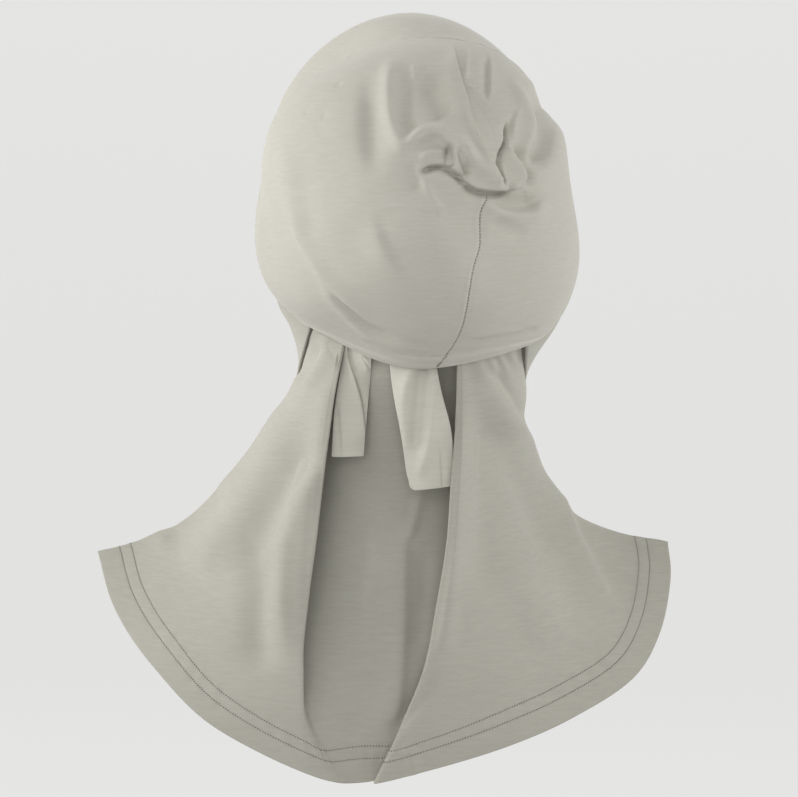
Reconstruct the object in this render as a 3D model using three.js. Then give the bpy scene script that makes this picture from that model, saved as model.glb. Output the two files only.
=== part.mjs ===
import * as THREE from 'three';

// Underscarf cap with a hair pouch, two ties and a shoulder cape, in millimetres.
// +Z is up, +Y is the way the wearer looks, and the origin is the inside of the crown's top,
// where the head carries the cloth.

// Cloth and clearances
const clothWall = 1.3;
const bandWall = 2.2;
const tieWall = 1.6;
const seamGap = 0.5;
const layerClearance = 0.5;

// Cap: half sizes of the ball that the cap's shares are taken of
const capHalfWidth = 100;
const capHalfDepth = 100;
const capHalfHeight = 100;
const capCentreAcross = 10;
const capCentreBack = 35;
const capCentreDrop = 101;
const backReach = 103;

// Where the front of the cap ends at the ears, as hours seen from behind
const earLeftHour = 7.7;
const earRightHour = 4;

// Nape band
const bandHeight = 14;
const bandLeftHour = 7.55;
const bandRightHour = 4.45;

// Cape
const capeHalfWidth = 172;
const capeCentreAcross = -9.5;
const capeBackDrop = 438;
const capeFrontDrop = 405;
const capeSideDrop = 320;
const capeBackReach = 105;
const capeFrontReach = 110;
const seamTurn = 96;
const gatherLeftHour = 7.23;
const gatherRightHour = 4.85;
const gatherShare = 0.16;
const gatherSteepness = 2;
const sideGap = 1.9;
const neckSideGap = 3;
const cornerGapHours = 0.05;

// Inverted fold at the middle of the cape's back
const foldDepth = 32;
const foldOverlap = 12;
const foldRoll = 4.2;
const foldGapHalf = 32;

// Ties: length below the cap's edge, width, and where the top hangs across
const leftTieLength = 68;
const leftTieWidth = 19.5;
const leftTieAcross = -22.5;
const rightTieLength = 74;
const rightTieWidth = 29;
const rightTieAcross = 7;
const tieRoom = 5;

const clothMaterial = { color: 0xb9b6aa, roughness: 0.78, metalness: 0.0 };
const bandMaterial = { color: 0xb3b0a3, roughness: 0.8, metalness: 0.0 };

// One value per hour from 12 round to 11, seen from behind with 12 at the top. edgeTurn and faceTurn
// are degrees from the straight-back direction to the pouch's edge and to the edge round the face.
// The others are reaches from the cap's centre, as shares of its half sizes, along that hour's line.
const capHours = {
  edgeTurn: [78, 82, 106, 112, 104, 66, 60, 75, 103, 110, 106, 95],
  faceTurn: [154, 154, 156, 157, 150, 138, 134, 134, 135, 138, 143, 150],
  pouch: [0.94, 0.93, 0.95, 0.94, 1.04, 1.14, 1.15, 1.11, 1.03, 0.93, 0.945, 0.93],
  edge: [0.88, 0.92, 0.90, 0.89, 1.09, 1.16, 1.16, 1.02, 1.04, 0.925, 0.93, 0.86],
  rise: [1.01, 0.96, 0.96, 0.98, 1.07, 1.10, 1.10, 1.09, 1.09, 0.985, 1.05, 1.06],
  side: [1.18, 1.12, 1.11, 1.10, 1.08, 1.20, 1.25, 1.18, 1.09, 1.07, 1.12, 1.18],
  face: [1.28, 1.23, 1.19, 1.16, 1.20, 1.38, 1.52, 1.42, 1.20, 1.15, 1.19, 1.24],
};
const outAt = { centre: 0, pouch: 0.5, edge: 1, rise: 1.25, side: 1.6, face: 2 };

// The seam between the two pouch panels, from the top edge to the nape: out is 1 at the pouch's edge.
const centreSeam = [
  { hour: 0.40, out: 1 },
  { hour: 0.73, out: 0.61 },
  { hour: 1.50, out: 0.37 },
  { hour: 2.95, out: 0.22 },
  { hour: 3.60, out: 0.19 },
  { hour: 4.50, out: 0.31 },
  { hour: 5.10, out: 0.52 },
  { hour: 5.45, out: 0.75 },
  { hour: 5.80, out: 1 },
];

// Folds of the pouch: a path seen from behind, across and up from the cap's centre as shares of its
// half width and height, with its height and its left and right widths as shares of the half depth.
const pouchFolds = [
  { path: [[-0.32, 0.66], [-0.30, 0.40], [-0.26, 0.16]], height: -0.03, left: 0.12, right: 0.10 },
  { path: [[-0.2, 0.66], [-0.16, 0.46], [-0.1, 0.28], [0.02, 0.12]], height: 0.03, left: 0.08, right: 0.09 },
  { path: [[0.04, 0.56], [0.12, 0.40]], height: -0.06, left: 0.15, right: 0.13 },
  { path: [[-0.02, 0.28], [0.14, 0.30], [0.26, 0.20], [0.36, 0.06]], height: 0.05, left: 0.07, right: 0.07 },
  { path: [[0.08, 0.10], [0.20, 0.12], [0.28, 0.04]], height: -0.07, left: 0.07, right: 0.07 },
  { path: [[0.24, 0.72], [0.32, 0.42], [0.42, 0.18], [0.48, 0.04]], height: 0.05, left: 0.10, right: 0.08 },
  { path: [[0.58, 0.62], [0.68, 0.40], [0.62, 0.14]], height: 0.03, left: 0.08, right: 0.08 },
  { path: [[0.84, 0.40], [0.76, 0.16], [0.56, 0.04]], height: -0.04, left: 0.09, right: 0.09 },
  { path: [[0.36, -0.06], [0.56, -0.10], [0.72, -0.08]], height: 0.025, left: 0.08, right: 0.08 },
  { path: [[-0.60, -0.20], [-0.35, -0.55], [0.00, -0.78]], height: 0.025, left: 0.08, right: 0.08 },
];

// Sections of the cape from the cap's edge, at 0, to the hem, at 1. left and right are the side
// reaches as shares of the half width, sideBack, leftDrop and rightDrop where the sides run, and the
// drops and reaches of the back and the front are shares of their sizes at the hem.
const capeSections = {
  at: [0, 0.12, 0.26, 0.40, 0.55, 0.70, 0.86, 1],
  left: [0.33, 0.36, 0.43, 0.50, 0.59, 0.71, 0.87, 1.005],
  right: [0.46, 0.455, 0.455, 0.497, 0.555, 0.65, 0.81, 1],
  sideBack: [0.29, 0.24, 0.19, 0.12, 0.06, 0.01, -0.04, -0.05],
  leftDrop: [0.62, 0.69, 0.75, 0.81, 0.87, 0.93, 0.98, 1],
  rightDrop: [0.62, 0.69, 0.75, 0.81, 0.865, 0.92, 0.962, 0.982],
  back: [0.80, 0.86, 0.90, 0.93, 0.955, 0.975, 0.99, 1],
  backDrop: [0.46, 0.54, 0.62, 0.70, 0.78, 0.86, 0.935, 1],
  front: [0.60, 0.56, 0.60, 0.71, 0.83, 0.92, 0.97, 1],
  frontDrop: [0.54, 0.59, 0.65, 0.72, 0.79, 0.86, 0.94, 1],
};

// The hem's run round the back: at is degrees from the middle of the back, across is a share of the
// side reach, and drop goes from 0 at the side to 1 at the lowest point.
const hemRun = {
  at: [-90, -70, -50, -30, -12, 0, 12, 30, 48, 62, 74, 84, 90],
  across: [-1, -0.935, -0.79, -0.54, -0.22, -0.06, 0.12, 0.42, 0.66, 0.86, 0.96, 1.005, 1],
  drop: [0, 0.24, 0.48, 0.77, 0.97, 1, 0.95, 0.845, 0.735, 0.59, 0.40, 0.16, 0],
};

// The inverted fold: its two edges as shares of foldGapHalf, and for either side the depth, the
// overlap and the roll of its edge as shares. The left edge opens out flat before the hem.
const foldSections = {
  at: [0, 0.12, 0.26, 0.40, 0.55, 0.70, 0.86, 1],
  left: [-1, -1.10, -1.20, -1.30, -1.46, -1.62, -1.60, -1.40],
  right: [1.06, 1, 0.92, 0.84, 0.66, 0.44, 0, -0.45],
  leftDepth: [0.20, 0.75, 1, 0.95, 0.80, 0.58, 0.30, 0.10],
  rightDepth: [0.20, 0.75, 1, 0.95, 0.80, 0.60, 0.38, 0.26],
  leftOverlap: [0.5, 0.9, 1, 1, 0.9, 0.6, 0, -1],
  rightOverlap: [0.5, 0.9, 1, 1, 0.9, 0.7, 0.5, 0.3],
  leftRoll: [1, 1, 1, 1, 1, 0.95, 0.45, 0.12],
  rightRoll: [1, 1, 1, 1, 1, 1, 1, 1],
};

// Where the neck cover's top line runs: turn is degrees round the neck from the back, and hour and
// out place it on the cap, out being 1 at the pouch's edge and 2 at the edge round the face.
const collarLine = [
  { turn: seamTurn, hour: gatherRightHour - cornerGapHours, out: 1, steps: 3 },
  { turn: 116, hour: earRightHour, out: 1, steps: 5 },
  { turn: 150, hour: earRightHour, out: 2, steps: 4 },
  { turn: 182, hour: 6.3, out: 2, steps: 4 },
  { turn: 212, hour: earLeftHour, out: 2, steps: 5 },
  { turn: 242, hour: earLeftHour, out: 1, steps: 3 },
  { turn: 360 - seamTurn, hour: gatherLeftHour + cornerGapHours, out: 1, steps: 0 },
];

// Each tie's middle line and widths from its hidden top, at 0, to its end, at 1. across is from the
// tie's top as a share of its width, back is from the nape as a share of the tie's width.
const leftTieRows = {
  at: [0, 0.25, 0.60, 1],
  across: [0, -0.11, -0.26, -0.36],
  width: [0.65, 0.88, 0.98, 0.95],
  back: [0, 0.16, 0.12, 0],
};
const rightTieRows = {
  at: [0, 0.25, 0.60, 1],
  across: [0, 0.10, 0.30, 0.46],
  width: [0.90, 0.95, 1, 0.76],
  back: [0, 0.06, 0.18, 0.22],
};

// Cubic through the values of a column, with knots at the given places
function through(knots, values, at) {
  const last = knots.length - 1;
  const clamped = Math.min(Math.max(at, knots[0]), knots[last]);
  let k = 0;
  while (k < last - 1 && clamped > knots[k + 1]) k += 1;
  const slope = (i) => {
    const low = Math.max(i - 1, 0);
    const high = Math.min(i + 1, last);
    return (values[high] - values[low]) / (knots[high] - knots[low]);
  };
  const span = knots[k + 1] - knots[k];
  const s = (clamped - knots[k]) / span;
  const s2 = s * s;
  const s3 = s2 * s;
  return (2 * s3 - 3 * s2 + 1) * values[k] + (s3 - 2 * s2 + s) * span * slope(k)
    + (-2 * s3 + 3 * s2) * values[k + 1] + (s3 - s2) * span * slope(k + 1);
}

function column(table, name, at) {
  return through(table.at, table[name], at);
}

// A column of the hour table at any hour, going round
function byHour(name, hour) {
  const wrapped = ((hour % 12) + 12) % 12;
  const base = Math.floor(wrapped);
  const s = wrapped - base;
  const value = (offset) => capHours[name][(base + offset + 12) % 12];
  const [a, b, c, d] = [value(-1), value(0), value(1), value(2)];
  return b + 0.5 * s * (c - a + s * (2 * a - 5 * b + 4 * c - d + s * (3 * (b - c) + d - a)));
}

function smooth(low, high, value) {
  const s = Math.min(Math.max((value - low) / (high - low), 0), 1);
  return s * s * (3 - 2 * s);
}

// Height of one fold at a place seen from behind
function foldHeight(fold, across, up) {
  let nearest = Infinity;
  let side = 1;
  let along = 0;
  for (let k = 0; k < fold.path.length - 1; k += 1) {
    const [ax, az] = fold.path[k];
    const [bx, bz] = fold.path[k + 1];
    const length2 = (bx - ax) ** 2 + (bz - az) ** 2;
    const raw = ((across - ax) * (bx - ax) + (up - az) * (bz - az)) / length2;
    const s = Math.min(Math.max(raw, 0), 1);
    const dx = across - ax - s * (bx - ax);
    const dz = up - az - s * (bz - az);
    const distance = Math.hypot(dx, dz);
    if (distance < nearest) {
      nearest = distance;
      side = (bx - ax) * dz - (bz - az) * dx;
      along = (k + s) / (fold.path.length - 1);
    }
  }
  const width = side < 0 ? fold.right : fold.left;
  const fade = smooth(-0.2, 0.25, along) * smooth(1.2, 0.75, along);
  return fold.height * fade * Math.exp(-((nearest / width) ** 2));
}

// A point of the cap's cloth: hour round the back, and out from the middle of the pouch, at 0,
// through the pouch's edge, at 1, to the edge round the face, at 2. lift moves it off the cloth.
function capPoint(hour, out, lift = 0) {
  const edgeTurn = byHour('edgeTurn', hour);
  const faceTurn = byHour('faceTurn', hour);
  const turn = out <= 1 ? edgeTurn * out : edgeTurn + (faceTurn - edgeTurn) * (out - 1);
  const names = ['pouch', 'edge', 'rise', 'side', 'face'];
  const centre = backReach / capHalfDepth;
  const knots = [-outAt.pouch, outAt.centre, ...names.map((name) => outAt[name])];
  const values = [byHour('pouch', hour + 6), centre, ...names.map((name) => byHour(name, hour))];
  const reach = through(knots, values, out);
  const polar = THREE.MathUtils.degToRad(turn);
  const round = THREE.MathUtils.degToRad(hour * 30);
  const ray = new THREE.Vector3(
    Math.sin(polar) * Math.sin(round) * capHalfWidth,
    -Math.cos(polar) * capHalfDepth,
    Math.sin(polar) * Math.cos(round) * capHalfHeight,
  );
  const across = reach * ray.x / capHalfWidth;
  const up = reach * ray.z / capHalfHeight;
  const onPouch = smooth(1.0, 0.86, out);
  let folded = 0;
  if (onPouch > 0) {
    for (const fold of pouchFolds) folded += foldHeight(fold, across, up);
  }
  const point = ray.clone().multiplyScalar(reach + folded * onPouch);
  point.addScaledVector(ray.normalize(), lift);
  return point.add(new THREE.Vector3(capCentreAcross, -capCentreBack, -capCentreDrop));
}

// Length along the cap for one step of out, at an hour, inside the pouch's edge
function pouchLength(hour) {
  const turn = THREE.MathUtils.degToRad(byHour('edgeTurn', hour));
  return byHour('edge', hour) * capHalfDepth * turn;
}

// How far the band reaches in from the pouch's edge, thinning out at its two ends
function bandShare(hour, spare = 0) {
  const wrapped = ((hour % 12) + 12) % 12;
  if (wrapped <= bandRightHour || wrapped >= bandLeftHour) return 0;
  const place = (wrapped - bandRightHour) / (bandLeftHour - bandRightHour);
  return (bandHeight + spare) / pouchLength(hour) * Math.min(1, 2 * Math.sin(Math.PI * place));
}

// Flat map of the pouch, where hour and out are polar coordinates
function toMap(hour, out) {
  const round = THREE.MathUtils.degToRad(hour * 30);
  return new THREE.Vector2(Math.sin(round) * out, Math.cos(round) * out);
}

function fromMap(place) {
  const hour = THREE.MathUtils.radToDeg(Math.atan2(place.x, place.y)) / 30;
  return { hour: (hour + 12) % 12, out: place.length() };
}

const seamCurve = new THREE.CatmullRomCurve3(
  centreSeam.map((row) => {
    const place = toMap(row.hour, row.out);
    return new THREE.Vector3(place.x, place.y, 0);
  }),
  false,
  'centripetal',
);

// A panel of the pouch between the centre seam and the pouch's edge, side being -1 left and 1 right
function pouchPanel(side) {
  return (u, v) => {
    const half = seamGap / 2;
    const seamPoint = (along) => {
      const raw = seamCurve.getPoint(along);
      const tangent = seamCurve.getTangent(along);
      const step = half / pouchLength(3);
      const place = new THREE.Vector2(raw.x - side * tangent.y * step, raw.y + side * tangent.x * step);
      const gapShare = half / pouchLength(fromMap(place).hour);
      const share = 1 - gapShare - bandShare(fromMap(place).hour, seamGap) * smooth(0.5, 1, along);
      return place.length() > share ? place.multiplyScalar(share / place.length()) : place;
    };
    const start = fromMap(seamPoint(0)).hour;
    const end = fromMap(seamPoint(1)).hour;
    const hour = side > 0 ? start + (end - start) * u : start - (start + 12 - end) * u;
    const onSeam = seamPoint(u);
    const edgeOut = 1 - half / pouchLength(hour) - bandShare(hour, seamGap);
    const place = onSeam.lerp(toMap(hour, edgeOut), v);
    const found = fromMap(place);
    return capPoint(found.hour, found.out);
  };
}

// The turned band on the pouch's lower edge
function napeBand(u, v) {
  const hour = bandRightHour + (bandLeftHour - bandRightHour) * u;
  const share = bandShare(hour);
  const half = seamGap / 2 / pouchLength(hour);
  const proud = (bandWall - clothWall) * smooth(0, 0.06, Math.min(u, 1 - u));
  return capPoint(hour, 1 - share * (1 - v) + half * (1 - v), proud);
}

// The smooth front of the cap, from ear level on the left over the top to ear level on the right
function crownFront(u, v) {
  const hour = earLeftHour - 12 + (earRightHour + 12 - earLeftHour) * u;
  const turned = Math.sin(THREE.MathUtils.degToRad(byHour('edgeTurn', hour)));
  const gapHours = seamGap / 2 / (capHalfDepth * turned) * (6 / Math.PI);
  const inside = THREE.MathUtils.clamp(hour, earLeftHour - 12 + gapHours, earRightHour - gapHours);
  const low = 1 + seamGap / pouchLength(hour);
  return capPoint(inside, low + (2 - low) * v);
}

// The cape without its gathers: turn is degrees round the neck from the back, at is 0 to 1 down
function capePoint(turn, at) {
  const angle = THREE.MathUtils.degToRad(turn);
  const back = Math.cos(angle) > 0;
  const signed = turn > 180 ? turn - 360 : turn;
  const part = (name) => column(capeSections, name, at);
  const ownHem = back ? smooth(0.2, 1, at) : 0;
  const across = THREE.MathUtils.lerp(Math.sin(angle), column(hemRun, 'across', signed), ownHem);
  const share = Math.abs(Math.cos(angle));
  const drop = THREE.MathUtils.lerp(share ** 1.15, column(hemRun, 'drop', signed), ownHem);
  const reach = (across < 0 ? part('left') : part('right')) * capeHalfWidth;
  const sideBack = -part('sideBack') * capeBackReach;
  const toRight = smooth(-1, 1, across);
  const sideDrop = THREE.MathUtils.lerp(part('leftDrop'), part('rightDrop'), toRight) * capeSideDrop;
  const endBack = back ? -part('back') * capeBackReach : part('front') * capeFrontReach;
  const endDrop = back ? part('backDrop') * capeBackDrop : part('frontDrop') * capeFrontDrop;
  return new THREE.Vector3(
    capeCentreAcross * (0.2 + 0.8 * at) + across * reach,
    sideBack + (endBack - sideBack) * share,
    -sideDrop - (endDrop - sideDrop) * drop,
  );
}

// The turn round the back at which the cape is a given distance across
function turnAt(across, at) {
  let low = -90;
  let high = 90;
  for (let k = 0; k < 30; k += 1) {
    const middle = (low + high) / 2;
    if (capePoint(middle, at).x < across) low = middle;
    else high = middle;
  }
  return (low + high) / 2;
}

// The cape's back at a distance across, moved forward by a depth
function capeBackAt(across, at, depth) {
  const point = capePoint(turnAt(across, at), at);
  point.y += depth;
  return point;
}

// The cap's lower edge at a distance across, set in from the cloth
function rimAt(across, inset) {
  let low = gatherRightHour;
  let high = gatherLeftHour;
  for (let k = 0; k < 30; k += 1) {
    const middle = (low + high) / 2;
    if (capPoint(middle, 1).x > across) low = middle;
    else high = middle;
  }
  return capPoint((low + high) / 2, 1, -inset);
}

// Stations across the cape's back: a name for the stretch and the place in it, from 0 to 1
function capeStations(flapSteps, recessSteps) {
  const stations = [];
  for (let k = 0; k <= flapSteps; k += 1) stations.push({ part: 'leftFlap', place: k / flapSteps });
  stations.push({ part: 'leftEdge', place: 0 });
  stations.push({ part: 'leftUnder', place: 0 });
  stations.push({ part: 'leftUnder', place: 1 });
  stations.push({ part: 'leftTurn', place: 0 });
  for (let k = 0; k <= recessSteps; k += 1) stations.push({ part: 'recess', place: k / recessSteps });
  stations.push({ part: 'rightTurn', place: 0 });
  stations.push({ part: 'rightUnder', place: 1 });
  stations.push({ part: 'rightUnder', place: 0 });
  stations.push({ part: 'rightEdge', place: 0 });
  for (let k = 0; k <= flapSteps; k += 1) stations.push({ part: 'rightFlap', place: k / flapSteps });
  return stations;
}

// One side of the inverted fold at a section: its edge's distance across, how far its under layer
// goes out beneath the flap, its depth behind the flap, and the roll of its edge
function foldSide(side, at) {
  const roll = column(foldSections, `${side}Roll`, at) * foldRoll;
  return {
    edge: column(foldSections, side, at) * foldGapHalf,
    overlap: column(foldSections, `${side}Overlap`, at) * foldOverlap + roll / 2,
    depth: Math.max(column(foldSections, `${side}Depth`, at) * foldDepth, roll + clothWall),
    roll,
  };
}

// A point of the cape's back at a station, with its folded edges, before it is gathered to the cap
function capeStation(station, at) {
  const side = station.part.startsWith('left') ? 'left' : 'right';
  const sign = side === 'left' ? -1 : 1;
  const { edge, overlap, depth, roll } = foldSide(side, at);
  const half = roll / 2;
  if (station.part.endsWith('Flap')) {
    const endTurn = turnAt(edge + sign * half, at);
    const place = side === 'left' ? station.place : 1 - station.place;
    return capePoint(THREE.MathUtils.lerp(sign * seamTurn, endTurn, place), at);
  }
  if (station.part.endsWith('Edge')) return capeBackAt(edge, at, half);
  if (station.part.endsWith('Under')) {
    const reach = THREE.MathUtils.lerp(half, overlap, station.place);
    return capeBackAt(edge + sign * reach, at, roll);
  }
  if (station.part.endsWith('Turn')) {
    const out = overlap + Math.min(half, (depth - roll) / 2);
    return capeBackAt(edge + sign * out, at, (roll + depth) / 2);
  }
  const from = foldSide('left', at);
  const to = foldSide('right', at);
  const across = THREE.MathUtils.lerp(from.edge - from.overlap, to.edge + to.overlap, station.place);
  return capeBackAt(across, at, THREE.MathUtils.lerp(from.depth, to.depth, smooth(0, 1, station.place)));
}

// The same station on the cap's lower edge, where the cape is gathered
function gatheredStation(station) {
  const side = station.part.startsWith('left') ? 'left' : 'right';
  const sign = side === 'left' ? -1 : 1;
  const edge = column(foldSections, side, 0) * foldGapHalf;
  const inset = bandWall + layerClearance;
  const endHour = side === 'left' ? gatherLeftHour : gatherRightHour;
  const end = capPoint(endHour, 1).x;
  const half = foldRoll / 2;
  const under = half + foldOverlap * 0.4;
  const deep = inset + foldRoll + clothWall + tieWall + tieRoom;
  if (station.part.endsWith('Flap')) {
    const place = side === 'left' ? station.place : 1 - station.place;
    return rimAt(THREE.MathUtils.lerp(end, edge + sign * half, place), inset);
  }
  if (station.part.endsWith('Edge')) return rimAt(edge, inset + half);
  if (station.part.endsWith('Under')) {
    return rimAt(edge + sign * THREE.MathUtils.lerp(half, under, station.place), inset + foldRoll);
  }
  if (station.part.endsWith('Turn')) {
    return rimAt(edge + sign * (under + half), (inset + foldRoll + deep) / 2);
  }
  const from = column(foldSections, 'left', 0) * foldGapHalf - under;
  const to = column(foldSections, 'right', 0) * foldGapHalf + under;
  return rimAt(THREE.MathUtils.lerp(from, to, station.place), deep);
}

// Moves a point of the cape towards the cap's edge: by all of the way at the top and by none of it
// from gatherShare on. The cloth comes in to the neck sooner than it comes down.
function drawnIn(point, way, at) {
  const hold = 1 - smooth(0, gatherShare, at);
  const inward = hold ** gatherSteepness;
  return point.add(new THREE.Vector3(way.x * inward, way.y * inward, way.z * hold));
}

function capeBack(station, at) {
  const free = capeStation(station, at);
  const pinned = gatheredStation(station);
  return drawnIn(free, pinned.sub(capeStation(station, 0)), at);
}

// The neck cover: its top line lies on the cap, and it opens out into the front of the cape
function neckCover(place, at) {
  const index = Math.min(Math.floor(place), collarLine.length - 2);
  const s = place - index;
  const from = collarLine[index];
  const to = collarLine[index + 1];
  const turn = THREE.MathUtils.lerp(from.turn, to.turn, s);
  const gap = seamGap / 2 / capHalfDepth;
  const hour = THREE.MathUtils.lerp(from.hour, to.hour, s);
  const inside = THREE.MathUtils.clamp(hour, earRightHour + gap * 2, earLeftHour - gap * 2);
  const out = THREE.MathUtils.lerp(from.out, to.out, s) + gap * 4;
  const pinned = capPoint(inside, Math.min(out, 2));
  const nearSeam = Math.abs(180 - turn) > 180 - seamTurn - 0.01;
  const sign = turn < 180 ? 1 : -1;
  const free = (depth) => {
    if (!nearSeam) return capePoint(turn, depth);
    const wide = THREE.MathUtils.lerp(neckSideGap, sideGap, smooth(0, 2 * gatherShare, depth));
    const reach = capeHalfWidth * column(capeSections, sign > 0 ? 'right' : 'left', depth);
    return capePoint(turn + sign * THREE.MathUtils.radToDeg(wide / reach), depth);
  };
  return drawnIn(free(at), pinned.sub(free(0)), at);
}

// One tie: u goes down its length and v across its width. Its top follows the cap's lower edge.
function tie(rows, topAcross, inset, length, width) {
  const top = rimAt(topAcross, inset);
  return (u, v) => {
    const middle = topAcross + column(rows, 'across', u) * width;
    const across = middle + column(rows, 'width', u) * width * (v - 0.5);
    const start = rimAt(across, inset);
    const loose = smooth(0, 0.45, u);
    const bow = 0.10 * width * (1 - (2 * v - 1) ** 2) * loose;
    const back = THREE.MathUtils.lerp(start.y, top.y, loose) + column(rows, 'back', u) * width - bow;
    return new THREE.Vector3(across, back, THREE.MathUtils.lerp(start.z, top.z, loose) - u * length);
  };
}

// Wall of cloth: the outer face from a grid of points, an inner face set in by the wall, and a rim
// along every free edge. away is a point on the inner side of the cloth, and a wall that is set in
// towards it keeps its edges square to the cap's centre, so that sewn edges meet.
function clothBody(grid, wall, away, towards = false) {
  const points = [];
  const seen = new Map();
  const weld = (point) => {
    const key = [point.x, point.y, point.z].map((value) => Math.round(value * 1000)).join(',');
    if (!seen.has(key)) {
      seen.set(key, points.length);
      points.push(point);
    }
    return seen.get(key);
  };
  const ids = grid.map((row) => row.map(weld));
  let faces = [];
  const addFace = (a, b, c) => {
    if (a !== b && b !== c && c !== a) faces.push([a, b, c]);
  };
  for (let i = 0; i < ids.length - 1; i += 1) {
    for (let j = 0; j < ids[0].length - 1; j += 1) {
      addFace(ids[i][j], ids[i + 1][j], ids[i + 1][j + 1]);
      addFace(ids[i][j], ids[i + 1][j + 1], ids[i][j + 1]);
    }
  }
  const normals = points.map(() => new THREE.Vector3());
  const faceNormal = ([a, b, c]) => {
    const side = points[b].clone().sub(points[a]);
    return side.cross(points[c].clone().sub(points[a]));
  };
  let outward = 0;
  for (const face of faces) {
    const normal = faceNormal(face);
    outward += normal.dot(points[face[0]].clone().sub(away));
    for (const corner of face) normals[corner].add(normal);
  }
  const sign = outward < 0 ? -1 : 1;
  if (sign < 0) faces = faces.map(([a, b, c]) => [a, c, b]);
  const count = points.length;
  const inward = (point, k) => (
    towards ? away.clone().sub(point).normalize() : normals[k].normalize().multiplyScalar(-sign)
  );
  const inner = points.map((point, k) => point.clone().addScaledVector(inward(point, k), wall));
  const edges = new Map();
  for (const [a, b, c] of faces) {
    for (const [from, to] of [[a, b], [b, c], [c, a]]) edges.set(`${from},${to}`, [from, to]);
  }
  const all = [...faces, ...faces.map(([a, b, c]) => [a + count, c + count, b + count])];
  for (const [from, to] of edges.values()) {
    if (edges.has(`${to},${from}`)) continue;
    all.push([to, from, from + count]);
    all.push([to, from + count, to + count]);
  }
  const geometry = new THREE.BufferGeometry();
  const flat = [...points, ...inner].flatMap((point) => [point.x, point.y, point.z]);
  geometry.setAttribute('position', new THREE.Float32BufferAttribute(flat, 3));
  geometry.setIndex(all.flat());
  geometry.computeVertexNormals();
  return geometry;
}

function gridOf(shape, uSteps, vSteps) {
  const rows = [];
  for (let i = 0; i <= uSteps; i += 1) {
    const row = [];
    for (let j = 0; j <= vSteps; j += 1) row.push(shape(i / uSteps, j / vSteps));
    rows.push(row);
  }
  return rows;
}

// Steps down the cape, closer together near the cap
function capeLevels(steps) {
  return Array.from({ length: steps + 1 }, (_, k) => (k / steps) ** 1.3);
}

function capeBackGrid(flapSteps, recessSteps, downSteps) {
  const levels = capeLevels(downSteps);
  return capeStations(flapSteps, recessSteps).map((station) => levels.map((at) => capeBack(station, at)));
}

function neckCoverGrid(downSteps) {
  const places = [];
  for (let k = 0; k < collarLine.length - 1; k += 1) {
    const steps = collarLine[k].steps;
    for (let j = 0; j < steps; j += 1) places.push(k + j / steps);
  }
  places.push(collarLine.length - 1);
  const levels = capeLevels(downSteps);
  return places.map((place) => levels.map((at) => neckCover(place, at)));
}

const group = new THREE.Group();

function addPiece(name, geometry, look) {
  const mesh = new THREE.Mesh(geometry, new THREE.MeshStandardMaterial(look));
  mesh.name = name;
  group.add(mesh);
}

const capCentre = new THREE.Vector3(capCentreAcross, -capCentreBack, -capCentreDrop);
const neckMiddle = new THREE.Vector3(0, 0, -capeBackDrop * 0.7);
const crownGrid = gridOf(crownFront, 38, 8);
const leftPanelGrid = gridOf(pouchPanel(-1), 34, 25);
const rightPanelGrid = gridOf(pouchPanel(1), 34, 18);
const bandGrid = gridOf(napeBand, 34, 2);
addPiece('crown_front', clothBody(crownGrid, clothWall, capCentre, true), clothMaterial);
addPiece('pouch_left', clothBody(leftPanelGrid, clothWall, capCentre, true), clothMaterial);
addPiece('pouch_right', clothBody(rightPanelGrid, clothWall, capCentre, true), clothMaterial);
addPiece('nape_band', clothBody(bandGrid, bandWall, capCentre, true), bandMaterial);
addPiece('neck_cover', clothBody(neckCoverGrid(13), clothWall, neckMiddle), clothMaterial);
addPiece('cape_back', clothBody(capeBackGrid(9, 4, 17), clothWall, neckMiddle), clothMaterial);

// The ties hang from inside the cap's lower edge, in front of the deep fold
const tieInset = bandWall + foldRoll + clothWall + 2 * layerClearance;
const tieAway = new THREE.Vector3(0, capHalfDepth * 10, -capeBackDrop / 2);
const leftTie = tie(leftTieRows, leftTieAcross, tieInset, leftTieLength, leftTieWidth);
const rightTie = tie(rightTieRows, rightTieAcross, tieInset, rightTieLength, rightTieWidth);
addPiece('tie_left', clothBody(gridOf(leftTie, 10, 4), tieWall, tieAway), bandMaterial);
addPiece('tie_right', clothBody(gridOf(rightTie, 10, 4), tieWall, tieAway), bandMaterial);

export default group;
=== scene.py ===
"""The looks of a soft jersey underscarf cap, worn and seen from behind: a hair pouch with a knotted
fold, a smooth front, a turned nape band, two short ties, and a neck cover that opens into a
shoulder cape with a deep inverted fold. Shapes are worked out in millimetres and put into the
meshes in metres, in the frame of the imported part."""

import logging
import math
from dataclasses import dataclass, field
from enum import Enum, IntEnum

import bpy
import numpy as np
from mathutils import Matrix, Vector


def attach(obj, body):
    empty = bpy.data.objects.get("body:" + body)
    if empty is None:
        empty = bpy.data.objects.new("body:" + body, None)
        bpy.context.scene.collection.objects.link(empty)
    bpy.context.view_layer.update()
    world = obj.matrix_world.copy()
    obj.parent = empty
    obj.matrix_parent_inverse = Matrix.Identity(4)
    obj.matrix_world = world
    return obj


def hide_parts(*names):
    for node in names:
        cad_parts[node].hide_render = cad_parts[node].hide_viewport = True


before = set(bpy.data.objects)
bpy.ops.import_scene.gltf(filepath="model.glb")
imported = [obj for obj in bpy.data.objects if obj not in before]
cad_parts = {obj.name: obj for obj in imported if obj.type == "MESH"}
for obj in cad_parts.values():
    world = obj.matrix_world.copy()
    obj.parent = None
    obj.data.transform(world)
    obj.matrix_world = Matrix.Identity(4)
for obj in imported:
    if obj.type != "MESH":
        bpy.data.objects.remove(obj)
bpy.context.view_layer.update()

LOG = logging.getLogger("underscarf")
MM = 0.001
Path = tuple[tuple[float, float], ...]
Array = np.ndarray
Item = bpy.types.Object
Socket = bpy.types.NodeSocket


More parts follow.
